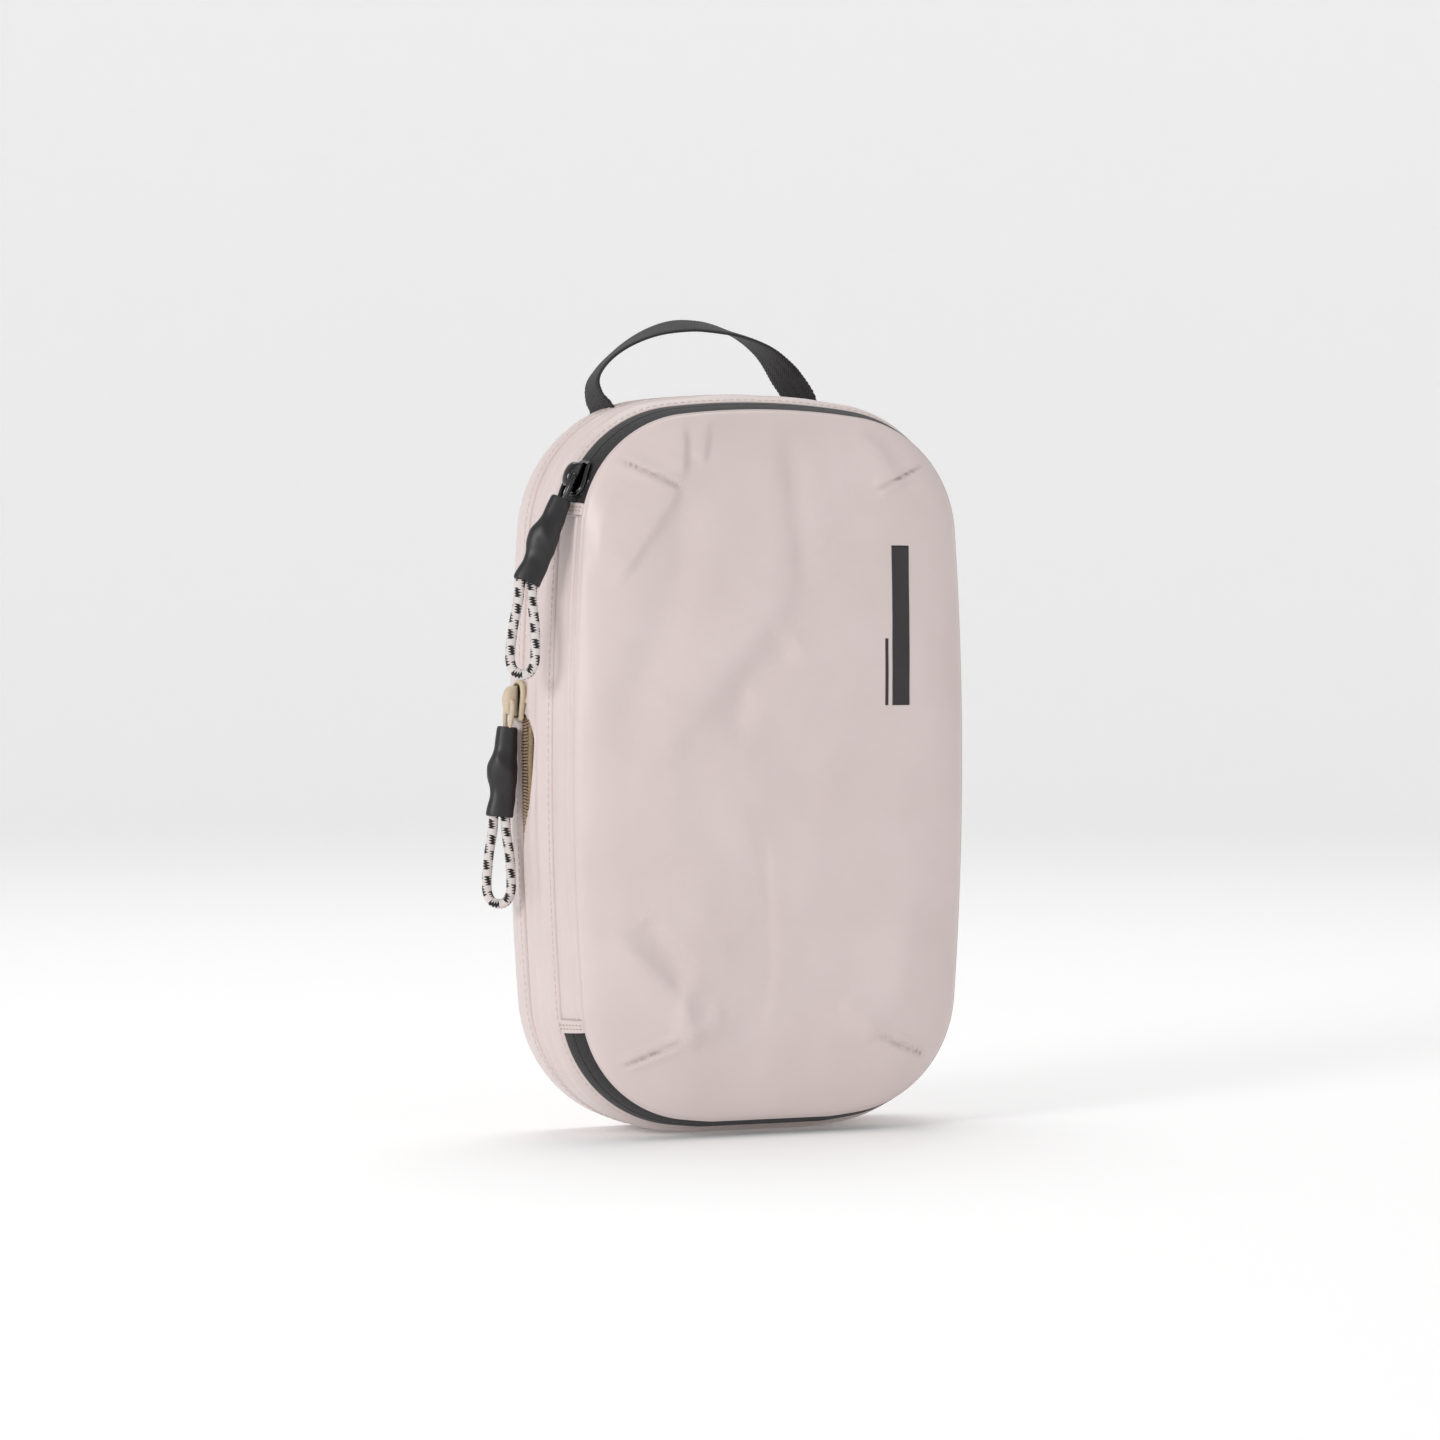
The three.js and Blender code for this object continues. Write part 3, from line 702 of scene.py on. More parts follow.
class PACKINGCUBE_OT_sleeves(bpy.types.Operator):
    """Moulded grips and the wire links that carry them"""

    bl_idname = "packingcube.sleeves"
    bl_label = "Pull grips"

    def execute(self, context):
        widths = spline(GRIP_WIDTHS, 72)
        turns = np.linspace(0, 2 * math.pi, 48, endpoint=False)
        legs = LINK_HALF_WIDTH
        link = [(legs - 1.1, -LINK_LENGTH - 0.4), (legs, -LINK_LENGTH * 0.6), (legs, -1.6), (legs - 1, -0.2)]
        link += [(0, 0)] + [(-y, z) for y, z in reversed(link)]
        for which, body, metal in (
            ("main", "main_pull", "black_metal"),
            ("expansion", "expansion_pull", "beige_metal"),
        ):
            rings = np.array([self.section(along, half, turns) for along, half in widths])
            rings = moved(rings, pull_frame(which))
            sleeve = sections_object(f"{which}_pull_grip", rings, FINISHES["rubber"])
            finish(sleeve, body, "black_rubber", f"{which}_pull_sleeve")
            path = moved(spline([(0, y, z) for y, z in link], 60), pull_frame(which))
            points, faces, _ = tube_mesh(path, LINK_WIRE, 16)
            wire = closed_object(f"{which}_wire_link", points, faces, FINISHES[metal])
            finish(wire, body, "black_metal", f"{which}_pull_link")
        return {"FINISHED"}

    def section(self, along, half, turns):
        """One oval ring of a grip, with the soft diagonal swelling of the cord knot inside it."""
        cosine, sine = np.cos(turns), np.sin(turns)
        depth = 3.1 + 0.75 * math.exp(-(((along - 15) / 5.5) ** 2))
        across = squared(cosine, 0.85) * half
        through = squared(sine, 0.85) * depth
        knot = 0.55 * np.exp(-(((along - 13 + 0.8 * across) / 2.6) ** 2)) * (sine < 0) * np.abs(sine)
        waist = 0.35 * np.exp(-(((along - 23 + 0.6 * across) / 2.8) ** 2)) * (sine < 0) * np.abs(sine)
        sway = 0.5 * math.sin((along - 9) * 0.3) * smooth(4, 11, along) * (1 - smooth(24, 31, along))
        across = across + sway
        through = through - knot + waist
        twist = math.radians(PULL_TWIST)
        y = across * math.cos(twist) + through * math.sin(twist)
        x = -across * math.sin(twist) + through * math.cos(twist)
        return np.stack([x, y, np.full_like(x, -LINK_LENGTH - along)], -1)


# ---------- sliders ----------
def shield(width, length, wide_end):
    """Outline of a slider plate, as [across, along] pairs, wider at the end given by its sign."""
    half = width / 2
    right = spline(
        [
            (0.0, length / 2),
            (half * 0.62, length * 0.46),
            (half * 0.98, length * 0.3),
            (half * 0.95, length * 0.05),
            (half * 0.68, -length * 0.3),
            (half * 0.6, -length * 0.47),
            (0.0, -length / 2),
        ],
        26,
    )
    left = right[-2:0:-1] * np.array([-1.0, 1.0])
    return np.vstack([right, left]) * np.array([1.0, wide_end])


def pillow_plate(plan, low, high, edge):
    """Sections of a plate with rounded rims between two heights over the bag."""
    layers = []
    for step in range(7):
        share = step / 6
        angle = math.pi * share
        shrink = 1 - edge * (1 - math.sin(angle) ** 0.6)
        height = low + (high - low) * (1 - math.cos(angle)) / 2
        layers.append(np.column_stack([np.full(len(plan), height), plan * shrink]))
    return np.array(layers)


def hood_sections(length, rise, width, base):
    """Rounded hood over the plate, as rings along the zip that shrink to its ends."""
    rings = []
    turns = np.linspace(0, 2 * math.pi, 28, endpoint=False)
    for angle in np.linspace(0.03, math.pi - 0.03, 27):
        along = -length / 2 * math.cos(angle)
        fullness = math.sin(angle) ** 0.55
        across = squared(np.cos(turns), 0.6) * width / 2 * (0.35 + 0.65 * fullness)
        up = (squared(np.sin(turns), 0.7) * 0.5 + 0.5) * rise * (0.12 + 0.88 * fullness)
        rings.append(np.stack([base + up, across, np.full_like(up, along)], -1))
    return np.array(rings)


class PACKINGCUBE_OT_sliders(bpy.types.Operator):
    """Zip sliders with their crowns"""

    bl_idname = "packingcube.sliders"
    bl_label = "Sliders"

    def execute(self, context):
        for which, body, metal, width, length, wide in (
            ("main", "main_slider", "black_metal", 9.8, 13.2, 1.0),
            ("expansion", "expansion_slider", "beige_metal", 10.2, 14.4, -1.0),
        ):
            place = slider_frame(which)
            lift = 0.7 if which == "main" else 0.4
            plan = shield(width, length, wide)
            plate = moved(pillow_plate(plan, lift, lift + 1.9, 0.16), place)
            outer = sections_object(f"{which}_slider_plate", plate, FINISHES[metal])
            finish(outer, body, metal, f"{which}_slider_body")
            arch = moved(hood_sections(length * 0.72, 5.2, 4.6, lift + 1.5), place)
            crown = sections_object(f"{which}_slider_crown_cast", arch, FINISHES[metal])
            finish(crown, body, metal, f"{which}_slider_crown")
            for number, side in enumerate((-1, 1), 1):
                edge = []
                for step, along in enumerate((-0.05, 0.12, 0.3, 0.42)):
                    across = side * width * 0.44 * (1 - 0.1 * step)
                    edge.append((lift - 0.5, across, wide * length * along))
                points, faces, _ = tube_mesh(moved(spline(edge, 16), place), 0.7, 10)
                rail = closed_object(f"{which}_slider_rail_{number}", points, faces, FINISHES[metal])
                finish(rail, body, metal)
        return {"FINISHED"}


# ---------- fabric walls ----------
def gap_opening(z, x):
    """How far the fabric edges stand apart below the parked expansion slider."""
    left = x < -HALF_WIDTH * 0.5
    slider = PULLS["expansion"]["slider_z"]
    drop = slider - z
    return left * ZIP_OPENING * smooth(2.0, 14.0, drop) * (1 - smooth(13.0, 54.0, drop)) ** 1.2


def along_y(points, centre, width):
    return np.exp(-(((points[..., 1] - centre) / width) ** 2))


def band_swell(points):
    puff = bpy.context.scene.packing_cube.puff / MM
    up = smooth(4.0, 60.0, points[..., 2])
    middle = along_y(points, 15.5, 5.5)
    soft = 0.3 * rumple(points, 26.0, 1) * smooth(2.0, 14.0, points[..., 2])
    return (puff * up * middle) + soft * middle


def gusset_swell(points):
    x, y, z = points[..., 0], points[..., 1], points[..., 2]
    away = smooth(3.0, 30.0, z)
    window = smooth(GUSSET_FRONT, GUSSET_FRONT + 5, y) * (1 - smooth(4.0, 8.0, y))
    waves = 0.55 * np.sin(2 * math.pi * (y + 2.0 * np.sin(z / 31.0)) / 9.5 + 0.6)
    soft = 0.55 * rumple(points * np.array([1, 2.2, 0.45]), 20.0, 2)
    fine = 0.16 * rumple(points * np.array([1, 1.6, 0.8]), 8.0, 3)
    tuck = -1.3 * np.exp(-(((y + 7.0) / 1.5) ** 2) - (((z - 193.0) / 9.0) ** 2)) * (x < 0)
    lip = 0.45 * along_y(points, 7.2, 1.2)
    dip = gap_opening(z, x) * 0.4 * along_y(points, 8.8, 4.0)
    return (waves + soft + fine + tuck) * window * away + (lip - dip) * away


def band_shift(points):
    near = smooth(20.0, 10.4, points[..., 1])
    return 0.16 * gap_opening(points[..., 2], points[..., 0]) * near


def gusset_shift(points):
    near = smooth(-8.0, 8.8, points[..., 1])
    return -0.8 * gap_opening(points[..., 2], points[..., 0]) * near


class PACKINGCUBE_OT_walls(bpy.types.Operator):
    """Back panel, rear band, front gusset and the pleat between them"""

    bl_idname = "packingcube.walls"
    bl_label = "Fabric walls"

    def execute(self, context):
        phis = ring_stations(1.3)
        lip = EXPANSION_SEAM + 0.5
        folded = [(-0.05, lip + 1.5), (0.1, lip + 0.5), (0.9, lip)]
        band = spline([(1.6, 22.5), (0.5, 22.9), (0.0, 21.9), (0.0, 18.0), (0.0, 14.0), *folded], 24)
        self.wall("rear_band_cloth", phis, band, band_swell, band_shift, "rear_shell", "rear_band")
        front = EXPANSION_SEAM - 0.5
        folded = [(0.9, front), (0.1, front - 0.5), (-0.05, front - 1.5)]
        slope = [(0.8, -10.2), (2.0, -12.6), (2.35, -13.3), (3.2, -13.45)]
        gusset = spline([*folded, (0.0, 4.0), (0.0, -1.0), (0.0, -6.0), *slope], 40)
        self.wall(
            "front_gusset_cloth", phis, gusset, gusset_swell, gusset_shift, "front_shell", "front_gusset"
        )
        self.back(phis)
        self.pleat()
        return {"FINISHED"}

    def wall(self, name, phis, profile, swell, shift, body, node):
        grid = wall_grid(phis, profile, swell, shift)
        grid[..., 2] = np.maximum(grid[..., 2], FLOOR_CLEAR)
        finish(cloth(name, grid, CLOTH, "ivory", inward_field(grid)), body, "ivory_fabric", node)

    def back(self, phis):
        shares = np.linspace(0.03, 1.0, 46)
        rim_x, rim_z = outline(phis, 1.0)
        rings = []
        for share in shares:
            swell = 1.1 * (1 - share**4)
            x, z = rim_x * share, MIDDLE_Z + (rim_z - MIDDLE_Z) * share
            rings.append(np.stack([x, np.full_like(x, BACK_FACE - 0.6 + swell), z], -1))
        grid = np.array(rings).transpose(1, 0, 2)
        fade = (1 - smooth(0.8, 1.0, shares))[None, :]
        grid[..., 1] += 0.5 * rumple(grid * np.array([1, 1, 0.6]), 30.0, 5) * fade
        grid[..., 1] += 0.12 * rumple(grid, 11.0, 6) * fade
        inward = np.broadcast_to(np.array([0.0, -1.0, 0.0]), grid.shape)
        panel = disc_object("back_panel_cloth", grid, FINISHES["ivory"], inward)
        finish(panel, "rear_shell", "ivory_fabric", "back_panel")

    def pleat(self):
        phis = ring_stations(3.0)
        turns = ((2.6, 3.6), (7.0, 1.7), (10.5, 0.0), (7.0, -1.7), (2.6, -3.6))
        grid = wall_grid(phis, spline([(inset, EXPANSION_SEAM + y) for inset, y in turns], 24))
        piece = cloth("expansion_pleat", grid, 0.6, "ivory", inward_field(grid))
        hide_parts("expansion_gusset")
        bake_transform(piece)


def disc_object(name, grid, material, inward):
    """Closed skin over a disc whose rows run round the outline and whose columns run to the rim."""
    rows, columns = grid.shape[:2]
    section = skin(grid, inward, CLOTH)
    wide = 2 * columns
    faces = grid_faces(rows, wide, True, False)
    first = rows * wide
    last = first + 1
    for row in range(rows):
        below = (row + 1) % rows
        faces.append((first, below * wide, row * wide))
        faces.append((last, row * wide + wide - 1, below * wide + wide - 1))
    points = np.vstack([section.reshape(-1, 3), section[:, 0].mean(axis=0), section[:, -1].mean(axis=0)])
    return closed_object(name, points, faces, material, points[:, [0, 2]] * MM)


# ---------- lid ----------
# Folds of the lid cloth: route as (x, z) points, height, and width on the left and right of travel.
CREASES = (
    (((-34, 252), (-36.5, 224)), 1.5, 1.6, 13.0),
    (((-36.5, 224), (-62, 188)), 1.4, 3.0, 15.0),
    (((-31, 221), (-44, 170), (-60, 130)), -1.3, 9.0, 8.0),
    (((6, 197), (-22, 160), (-57, 121)), 1.6, 8.0, 12.0),
    (((6, 169), (-14, 155), (-20, 134)), -1.5, 5.0, 9.0),
    (((5, 242), (9, 184)), -0.7, 5.0, 4.5),
    (((-3, 242), (1, 190)), 0.5, 5.0, 6.0),
    (((-24, 250), (-29, 229)), 1.1, 1.6, 6.0),
    (((-8, 104), (-5, 62), (-8, 32)), -0.5, 3.0, 9.0),
    (((-62, 72), (-38, 48), (-30, 30)), 1.2, 4.0, 8.0),
    (((-50, 77), (-33, 52)), -0.9, 4.0, 5.0),
    (((48, 82), (44, 50), (25, 29)), 1.0, 8.0, 9.0),
    (((30, 246), (46, 221)), 1.0, 4.0, 7.0),
    (((-37, 33), (-20, 45)), 0.9, 3.0, 5.0),
    (((-37, 33), (-33, 60)), 0.9, 3.0, 6.0),
    (((-20, 121), (-12, 95), (-8, 70)), 0.4, 4.0, 8.0),
    (((37, 33), (22, 47)), 0.8, 3.5, 5.0),
)
# Stitched darts that gather each corner, from the rim inwards.
DARTS = (
    ((-58, 232), (-36.5, 222.5)),
    ((58, 232), (36.5, 222.5)),
    ((-54, 27), (-36.8, 34)),
    ((54, 27), (36.8, 34)),
)


def fold_height(x, z, route, height, left, right):
    """Height that one fold gives each point; it dies away towards both ends of its route."""
    total = sum(math.dist(a, b) for a, b in zip(route, route[1:]))
    best = np.full(x.shape, 1e9)
    value = np.zeros(x.shape)
    run = 0.0
    for (ax, az), (bx, bz) in zip(route, route[1:]):
        length = math.hypot(bx - ax, bz - az)
        ux, uz = (bx - ax) / length, (bz - az) / length
        along = np.clip((x - ax) * ux + (z - az) * uz, 0, length)
        dx, dz = x - ax - along * ux, z - az - along * uz
        apart = np.hypot(dx, dz)
        side = ux * dz - uz * dx
        width = left + (right - left) * (0.5 - 0.5 * np.tanh(side / 1.2))
        share = (run + along) / total
        fade = smooth(0.0, 0.22, share + 0.04) * (1 - smooth(0.72, 1.0, share - 0.02))
        here = height * np.exp(-((apart / width) ** 2)) * fade
        value = np.where(apart < best, here, value)
        best = np.minimum(apart, best)
        run += length
    return value


def dart_height(x, z, route):
    (ax, az), (bx, bz) = route
    length = math.hypot(bx - ax, bz - az)
    ux, uz = (bx - ax) / length, (bz - az) / length
    along = (x - ax) * ux + (z - az) * uz
    across = np.abs(ux * (z - az) - uz * (x - ax))
    inside = smooth(-4.0, 1.0, along) * (1 - smooth(length - 2.0, length + 1.5, along))
    groove = -0.85 * np.exp(-((across / 0.5) ** 2))
    shoulder = 0.5 * np.exp(-(((across - 1.8) / 1.5) ** 2))
    return (groove + shoulder) * inside


def lid_height(x, z, share):
    """How far the lid cloth stands proud of its plain crown."""
    depth = bpy.context.scene.packing_cube.crease_depth
    height = sum(fold_height(x, z, *crease) for crease in CREASES)
    height = height + sum(dart_height(x, z, dart) for dart in DARTS)
    spots = np.stack([x, np.zeros_like(x), z], -1)
    height = height + 0.45 * rumple(spots * np.array([1.3, 1, 0.8]), 24.0, 7)
    height = height + 0.14 * rumple(spots, 9.0, 8)
    hold = 1 - smooth(0.93, 0.995, share)
    return height * depth * hold


def lid_depth(x, z, share):
    """Y of the lid's outer face."""
    return LID_RIM - LID_CROWN * (1 - share**3) ** 0.6 - lid_height(x, z, share)


def lid_point(phi, share):
    """Point on the outer face of the lid for a normal and a share of the way to the rim."""
    rim_x, rim_z = outline(phi, INSET_LID)
    x, z = rim_x * share, MIDDLE_Z + (rim_z - MIDDLE_Z) * share
    return np.stack([x, lid_depth(x, z, np.minimum(share, 1.0)), z], -1)


def lid_share(x, z):
    """Share of the way from the lid's middle to its rim at a point."""
    phis = stations(1.0)
    rim_x, rim_z = outline(phis, INSET_LID)
    angles = np.arctan2(rim_z - MIDDLE_Z, rim_x)
    order = np.argsort(angles)
    reach = np.hypot(rim_x, rim_z - MIDDLE_Z)[order]
    return np.hypot(x, z - MIDDLE_Z) / np.interp(np.arctan2(z - MIDDLE_Z, x), angles[order], reach)


def on_lid(x, z, lift):
    """Points that stand lift above the lid cloth."""
    share = np.minimum(lid_share(x, z), 0.999)
    return np.stack([x, lid_depth(x, z, share) - lift, z], -1)


class PACKINGCUBE_OT_lid(bpy.types.Operator):
    """Crowned and creased front panel with its rolled edge"""

    bl_idname = "packingcube.lid"
    bl_label = "Lid panel"

    def execute(self, context):
        phis = ring_stations(1.45)
        shares = 1 - (1 - np.linspace(0.012, 1.0, 92)) ** 1.3
        phi, share = np.meshgrid(phis, shares, indexing="ij")
        face = lid_point(phi, share)
        rolled = np.array([(-0.35, 0.0), (-0.45, 0.35), (0.3, 0.75)]) + np.array([INSET_LID, LID_RIM])
        grid = np.concatenate([face, wall_grid(phis, rolled)], axis=1)
        reach = np.append(shares, [1.0, 1.0, 1.0])
        inward = inward_field(grid) * smooth(0.9, 1.0, reach)[None, :, None]
        inward[..., 1] += 1 - smooth(0.94, 1.0, reach)[None, :]
        panel = disc_object("lid_cloth", grid, FINISHES["lid"], inward)
        finish(panel, "lid", "ivory_fabric", "front_panel")
        self.mark()
        return {"FINISHED"}

    def mark(self):
        """Plain printed bars near the top right of the lid."""
        for name, x, half, low, high in (
            ("wide", 44.5, 3.4, 148.0, 203.0),
            ("narrow", 38.9, 0.6, 148.0, 171.0),
        ):
            u, v = np.meshgrid(np.linspace(-1, 1, 9), np.linspace(0, 1, 60), indexing="ij")
            gx, gz = x + u * half, low + (high - low) * v
            section = np.concatenate([on_lid(gx, gz, 0.1), on_lid(gx, gz, -0.5)[:, ::-1]], axis=1)
            bar = sections_object(f"printed_bar_{name}", section, FINISHES["print"])
            finish(bar, "lid", "black_rubber")


# ---------- hinge ----------
class PACKINGCUBE_OT_hinge(bpy.types.Operator):
    """Fabric hinge strip with its ridge, and the hems over the zip ends"""

    bl_idname = "packingcube.hinge"
    bl_label = "Hinge and hems"

    def execute(self, context):
        phis = stations(1.3, ZIP_END + 0.8, 360 - ZIP_END - 0.8)
        depths = [-12.9, -14.5, -17.0, -19.5, -21.6, -22.6, -23.4, -24.6, -25.6, -26.3, -26.2]
        rises = [-0.5, 0.1, 0.35, 0.3, 0.1, 0.65, 0.1, 0.3, 0.45, 0.1, -0.9]
        profile = spline([(slope_inset(y) - rise, y) for y, rise in zip(depths, rises)], 40)

        def swell(points):
            fade = smooth(-12.9, -16.0, points[..., 1]) * (1 - smooth(-24.5, -26.0, points[..., 1]))
            return 0.35 * rumple(points * np.array([1, 2.0, 0.5]), 16.0, 11) * fade

        grid = wall_grid(phis, profile, swell)
        strip = cloth("hinge_strip", grid, CLOTH, "ivory", inward_field(grid), loop_rows=False)
        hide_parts("hinge_panel")
        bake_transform(strip)
        self.hems()
        return {"FINISHED"}

    def hems(self):
        for name, low, high in (
            ("top", ZIP_END - 2.6, ZIP_END + 3.0),
            ("bottom", 360 - ZIP_END - 3.0, 360 - ZIP_END + 2.6),
        ):
            phis = stations(0.5, low, high)
            depths = [-13.4, -14.0, -17.0, -19.7, -23.0, -25.4, -26.0]
            rises = [0.4, 0.95, 1.25, 1.3, 1.25, 1.0, 0.4]
            profile = spline([(slope_inset(y) - rise, y) for y, rise in zip(depths, rises)], 24)
            grid = wall_grid(phis, profile)
            hem = cloth(f"zip_end_hem_{name}", grid, 0.9, "ivory", inward_field(grid), loop_rows=False)
            finish(hem, "front_shell", "ivory_fabric", f"hinge_hem_{name}")


# ---------- zips ----------
class PACKINGCUBE_OT_tapes(bpy.types.Operator):
    """Black tapes of the main zip, meeting on a fine centre line"""

    bl_idname = "packingcube.tapes"
    bl_label = "Main zip tapes"

    def execute(self, context):
        phis = stations(1.2, -ZIP_END, ZIP_END)
        for name, rear, front, body, node in (
            ("tape_shell_side", TAPE_REAR + 0.4, SLIT_CENTRE + 0.06, "front_shell", "main_zip_tape_shell"),
            ("tape_lid_side", SLIT_CENTRE - 0.06, TAPE_FRONT - 0.3, "lid", "main_zip_tape_lid"),
        ):
            depth = np.linspace(rear, front, 22)
            from_centre = np.abs(depth - SLIT_CENTRE)
            hump = 0.75 * (1 - (from_centre / 6.6) ** 2) - 0.3 * np.exp(-((from_centre / 0.2) ** 2))
            profile = np.column_stack([slope_inset(depth) - hump, depth])
            grid = wall_grid(phis, profile)
            tape = cloth(name, grid, 0.7, "black_tape", inward_field(grid), loop_rows=False)
            finish(tape, body, "black_tape", node)
        return {"FINISHED"}


def beads_tree():
    """Geometry Nodes: one bead at every step of a path, laid along it or across the bag."""
    tree = bpy.data.node_groups.new("beads along a path", "GeometryNodeTree")
    face = tree.interface
    face.new_socket("Geometry", in_out="INPUT", socket_type="NodeSocketGeometry")
    for name in ("Pitch", "Width", "Length"):
        face.new_socket(name, in_out="INPUT", socket_type="NodeSocketFloat")
    face.new_socket("Follow path", in_out="INPUT", socket_type="NodeSocketBool")
    face.new_socket("Material", in_out="INPUT", socket_type="NodeSocketMaterial")
    face.new_socket("Geometry", in_out="OUTPUT", socket_type="NodeSocketGeometry")
    start = add_node(tree, "NodeGroupInput")
    path = add_node(tree, "GeometryNodeMeshToCurve", {"Mesh": start.outputs["Geometry"]})
    steps = {"Curve": path.outputs[0], "Length": start.outputs["Pitch"]}
    even = add_node(tree, "GeometryNodeResampleCurve", steps, mode="LENGTH")
    bead = add_node(tree, "GeometryNodeMeshUVSphere", {"Segments": 8, "Rings": 5, "Radius": 0.5})
    sides = {0: start.outputs["Width"], 1: start.outputs["Length"], 2: start.outputs["Width"]}
    size = add_node(tree, "ShaderNodeCombineXYZ", sides)
    scaled = {"Geometry": bead.outputs["Mesh"], "Scale": size.outputs[0]}
    shaped = add_node(tree, "GeometryNodeTransform", scaled)
    tangent = add_node(tree, "GeometryNodeInputTangent")
    turn = add_node(tree, "FunctionNodeAlignRotationToVector", {"Vector": tangent.outputs[0]}, axis="Y")
    choice = {"Switch": start.outputs["Follow path"], "True": turn.outputs[0]}
    pick = add_node(tree, "GeometryNodeSwitch", choice, input_type="ROTATION")
    placed = {"Points": even.outputs[0], "Instance": shaped.outputs[0], "Rotation": pick.outputs[0]}
    laid = add_node(tree, "GeometryNodeInstanceOnPoints", placed)
    real = add_node(tree, "GeometryNodeRealizeInstances", {"Geometry": laid.outputs[0]})
    smoothed = add_node(tree, "GeometryNodeSetShadeSmooth", {"Geometry": real.outputs[0]})
    coat = {"Geometry": smoothed.outputs[0], "Material": start.outputs["Material"]}
    painted = add_node(tree, "GeometryNodeSetMaterial", coat)
    add_node(tree, "NodeGroupOutput", {"Geometry": painted.outputs[0]})
    return tree


def beads(name, paths, pitch, width, length, follow, finish_name, closed=False):
    """Plain mesh of beads along paths of points in millimetres."""
    vertices, edges = [], []
    for path in paths:
        first = len(vertices)
        vertices.extend((np.asarray(path) * MM).tolist())
        edges.extend((first + i, first + i + 1) for i in range(len(path) - 1))
        if closed:
            edges.append((len(vertices) - 1, first))
    mesh = bpy.data.meshes.new(name + " route")
    mesh.from_pydata(vertices, edges, [])
    carrier = bpy.data.objects.new(name + " route", mesh)
    bpy.context.scene.collection.objects.link(carrier)
    modifier = carrier.modifiers.new("beads", "NODES")
    tree = bpy.data.node_groups.get("beads along a path") or beads_tree()
    modifier.node_group = tree
    values = {"Pitch": pitch, "Width": width * MM, "Length": length * MM}
    values.update({"Follow path": follow, "Material": FINISHES[finish_name]})
    for item in tree.interface.items_tree:
        if item.in_out == "INPUT" and item.name in values:
            modifier[item.identifier] = values[item.name]
    ready = carrier.evaluated_get(bpy.context.evaluated_depsgraph_get())
    result = bpy.data.meshes.new_from_object(ready)
    bpy.data.objects.remove(carrier)
    piece = bpy.data.objects.new(name, result)
    bpy.context.scene.collection.objects.link(piece)
    return piece


def route(phis, inset, y):
    x, z = outline(phis, inset)
    return np.stack([x, np.full_like(x, y), z], -1)


class PACKINGCUBE_OT_coils(bpy.types.Operator):
    """Teeth of both zips"""

    bl_idname = "packingcube.coils"
    bl_label = "Zip coils"

    def execute(self, context):
        bag = context.scene.packing_cube
        ring = ring_stations(2.0)
        for name, side, body in (("rear", 1, "rear_shell"), ("front", -1, "front_shell")):
            y = EXPANSION_SEAM + side * 0.9
            line = [route(ring, 0.75, y)]
            teeth = beads(
                f"expansion_teeth_{name}", line, bag.coil_pitch, 0.95, 2.3, False, "beige_coil", closed=True
            )
            finish(teeth, body, "beige_coil", f"expansion_coil_{name}")
        self.opened_coil(bag)
        main = stations(2.0, -ZIP_END + 1, ZIP_END - 1)
        for name, side, body in (("shell", 1, "front_shell"), ("lid", -1, "lid")):
            y = SLIT_CENTRE + side * 1.5
            line = [route(main, slope_inset(y) + 1.9, y)]
            teeth = beads(f"main_teeth_{name}", line, bag.coil_pitch * 1.2, 1.1, 2.4, False, "black_coil")
            finish(teeth, body, "black_coil", f"main_zip_coil_{name}")
        return {"FINISHED"}

    def opened_coil(self, bag):
        """Ribbed coil that shows where the zip stands open below its slider."""
        side = stations(0.8, 178.9, 181.6)
        side = side[(outline(side, 0.0)[1] > 97.0) & (outline(side, 0.0)[1] < 147.0)]
        x, z = outline(side, 0.75)
        opening = gap_opening(z, x)
        rows = []
        for share in (0.12, 0.37, 0.62, 0.87):
            y = EXPANSION_SEAM - 0.5 - 0.8 * opening * share
            rows.append(np.stack([x + 0.36 * opening * share, y, z], -1))
        teeth = beads("expansion_teeth_open", rows, bag.coil_pitch, 0.95, 2.6, False, "beige_coil")
        finish(teeth, "front_shell", "beige_coil")


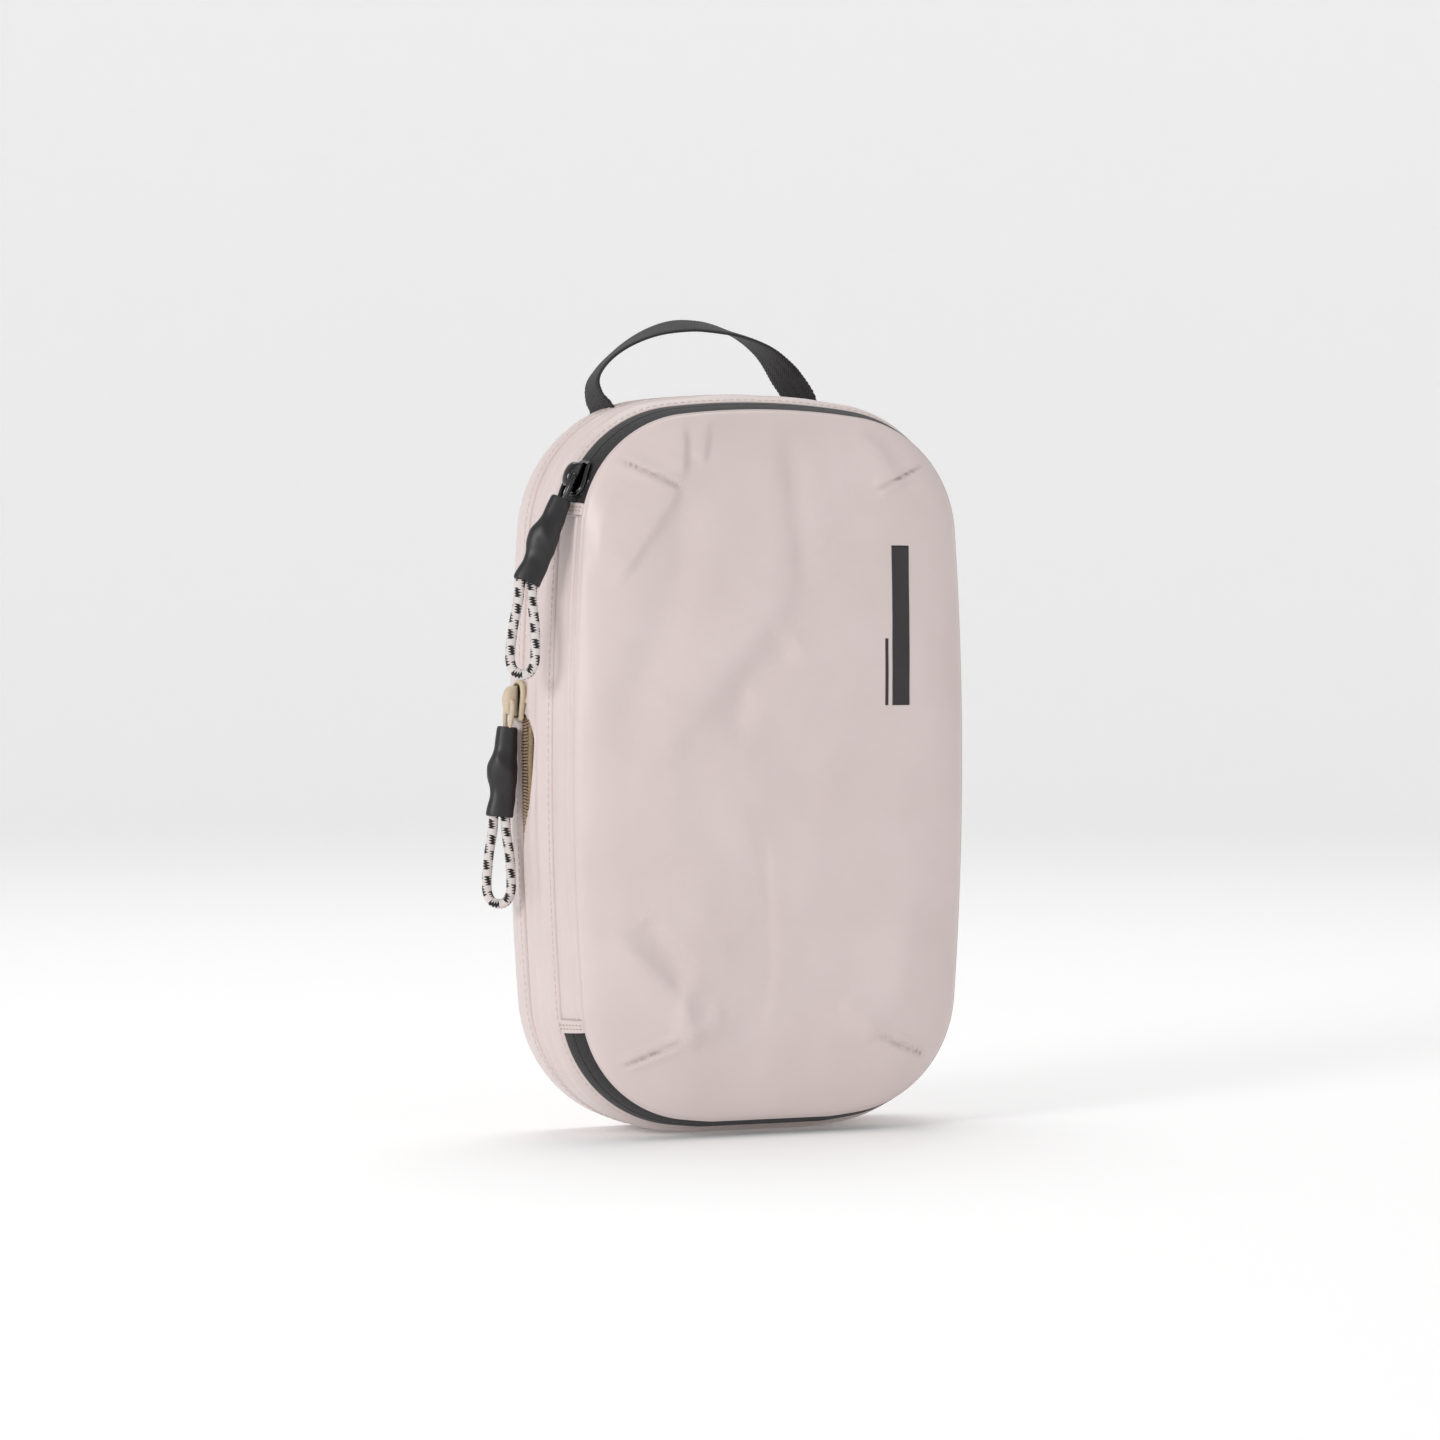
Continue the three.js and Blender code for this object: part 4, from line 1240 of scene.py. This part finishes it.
class PACKINGCUBE_OT_stitches(bpy.types.Operator):
    """Sewn rows along the seams and hems"""

    bl_idname = "packingcube.stitches"
    bl_label = "Stitches"

    def execute(self, context):
        pitch = context.scene.packing_cube.stitch_pitch
        ring = ring_stations(1.5)
        rear = wall_grid(ring, np.array([(-0.12, EXPANSION_SEAM + 2.3)]), band_swell, band_shift)[:, 0]
        rows = beads("rear_band_stitches", [rear], pitch, 0.34, 1.9, True, "thread", closed=True)
        finish(rows, "rear_shell", "ivory_fabric")
        front = wall_grid(ring, np.array([(-0.12, EXPANSION_SEAM - 2.3)]), gusset_swell, gusset_shift)[:, 0]
        edge = wall_grid(ring, np.array([(1.75, -12.3)]), gusset_swell)[:, 0]
        rows = beads("gusset_stitches", [front, edge], pitch, 0.34, 1.9, True, "thread", closed=True)
        finish(rows, "front_shell", "ivory_fabric")
        lines = []
        for sign in (1, -1):
            for step in (0.9, 2.6):
                phi = math.radians(sign * (ZIP_END + step - 1.6))
                y = np.linspace(-14.2, -25.4, 30)
                x, z = outline(np.full_like(y, phi), slope_inset(y) - 1.34)
                lines.append(np.stack([x, y, z], -1))
        hems = beads("hem_stitches", lines, 0.0017, 0.32, 1.25, True, "tan_thread")
        finish(hems, "front_shell", "ivory_fabric")
        seams = []
        for (ax, az), (bx, bz) in DARTS:
            share = np.linspace(0.02, 0.98, 30)
            seams.append(on_lid(ax + (bx - ax) * share, az + (bz - az) * share, -0.28))
        darts = beads("dart_stitches", seams, 0.0022, 0.3, 1.6, True, "tan_thread")
        finish(darts, "lid", "ivory_fabric")
        return {"FINISHED"}


# ---------- handle ----------
# Centre line of the webbing as (x, z), and its turn towards the lid as (share, degrees).
HANDLE_LINE = (
    (-45.6, 246.0), (-46.2, 250.2), (-48.4, 254.6), (-48.4, 260), (-45.2, 265.4), (-39.6, 270.6),
    (-32.4, 275.2), (-24.4, 278.6), (-15.6, 280.5), (-6.8, 280.5), (2, 278.9), (10, 275.9), (17, 271.6),
    (22.6, 265.8), (26.2, 260.6), (28.4, 255.2), (29.2, 249.6),
)
HANDLE_TURNS = (
    (0, 36), (0.05, 22), (0.1, 6), (0.15, -7), (0.24, -6), (0.34, 6), (0.46, 20), (0.58, 19), (0.7, 2),
    (0.79, -16), (0.88, -40), (1, -58),
)
WEBBING_HALF_WIDTH = 6.25
WEBBING_HALF_THICKNESS = 0.72


class PACKINGCUBE_OT_handle(bpy.types.Operator):
    """Twisted webbing handle"""

    bl_idname = "packingcube.handle"
    bl_label = "Handle"

    def execute(self, context):
        low, high = box_mm("handle_tail_left")
        handle_y = (low[1] + high[1]) / 2
        line = spline(HANDLE_LINE, 240)
        # The feet lean forwards into the seam, clear of the back panel.
        ends = np.minimum(np.arange(len(line)), np.arange(len(line))[::-1])
        lean = 3.2 * (1 - smooth(8, 34, ends))
        path = np.stack([line[:, 0], handle_y - lean, line[:, 1]], -1)
        tangent = tangents(path)
        run = distances(path)
        share = run / run[-1]
        turn = np.radians(np.interp(share, *zip(*HANDLE_TURNS)))
        kernel = np.ones(17) / 17
        turn = np.convolve(np.pad(turn, 8, mode="edge"), kernel, mode="valid")
        turns = np.linspace(0, 2 * math.pi, 56, endpoint=False)
        sections, pairs = [], []
        for index, centre in enumerate(path):
            outward = np.array([-tangent[index][2], 0.0, tangent[index][0]])
            face = outward * math.cos(turn[index]) + np.array([0.0, -math.sin(turn[index]), 0.0])
            width = np.cross(tangent[index], face)
            notch = 0.18 * math.sin(2 * math.pi * run[index] / 1.3)
            across = squared(np.cos(turns), 0.35) * (WEBBING_HALF_WIDTH + notch)
            through = squared(np.sin(turns), 0.6) * WEBBING_HALF_THICKNESS
            sections.append(centre + np.outer(across, width) + np.outer(through, face))
            pairs.append(np.stack([across + 6.5, np.full(len(turns), run[index])], -1) * MM)
        webbing = sections_object("webbing_handle", np.array(sections), FINISHES["webbing"], np.vstack(pairs))
        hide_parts("handle_webbing")
        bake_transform(webbing)
        return {"FINISHED"}


# ---------- parts kept from the frame ----------
KEPT = {
    "rear_binding": "black_tape",
    "gusset_binding": "black_tape",
    "hinge_binding": "black_tape",
    "lid_binding": "black_tape",
    "handle_tail_left": "webbing",
    "handle_tail_right": "webbing",
    "expansion_tape_rear": "beige_tape",
    "expansion_tape_front": "beige_tape",
}


class PACKINGCUBE_OT_trim(bpy.types.Operator):
    """Finishes for the inner tapes and bindings that keep their own shape"""

    bl_idname = "packingcube.trim"
    bl_label = "Inner trim"

    def execute(self, context):
        for node, finish_name in KEPT.items():
            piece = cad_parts[node]
            for slot in piece.material_slots:
                slot.material = FINISHES[finish_name]
        return {"FINISHED"}


OPERATORS = (
    PACKINGCUBE_OT_stage,
    PACKINGCUBE_OT_cords,
    PACKINGCUBE_OT_sleeves,
    PACKINGCUBE_OT_sliders,
    PACKINGCUBE_OT_walls,
    PACKINGCUBE_OT_lid,
    PACKINGCUBE_OT_hinge,
    PACKINGCUBE_OT_tapes,
    PACKINGCUBE_OT_coils,
    PACKINGCUBE_OT_stitches,
    PACKINGCUBE_OT_handle,
    PACKINGCUBE_OT_trim,
)


class PACKINGCUBE_PT_panel(bpy.types.Panel):
    """Buttons and settings of the packing cube"""

    bl_label = "Packing cube"
    bl_idname = "PACKINGCUBE_PT_panel"
    bl_space_type = "VIEW_3D"
    bl_region_type = "UI"
    bl_category = "Packing cube"

    def draw(self, context):
        for name in PackingCubeSettings.__annotations__:
            self.layout.prop(context.scene.packing_cube, name)
        for operator in OPERATORS:
            self.layout.operator(operator.bl_idname)


CLASSES = (PackingCubeSettings, *OPERATORS, PACKINGCUBE_PT_panel)


def register():
    for item in CLASSES:
        bpy.utils.register_class(item)
    bpy.types.Scene.packing_cube = PointerProperty(type=PackingCubeSettings)


def unregister():
    del bpy.types.Scene.packing_cube
    for item in reversed(CLASSES):
        bpy.utils.unregister_class(item)


def main():
    register()
    build_finishes(bpy.context.scene.packing_cube)
    for operator in OPERATORS:
        group, name = operator.bl_idname.split(".")
        getattr(getattr(bpy.ops, group), name)()
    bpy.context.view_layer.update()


if __name__ == "__main__":
    main()
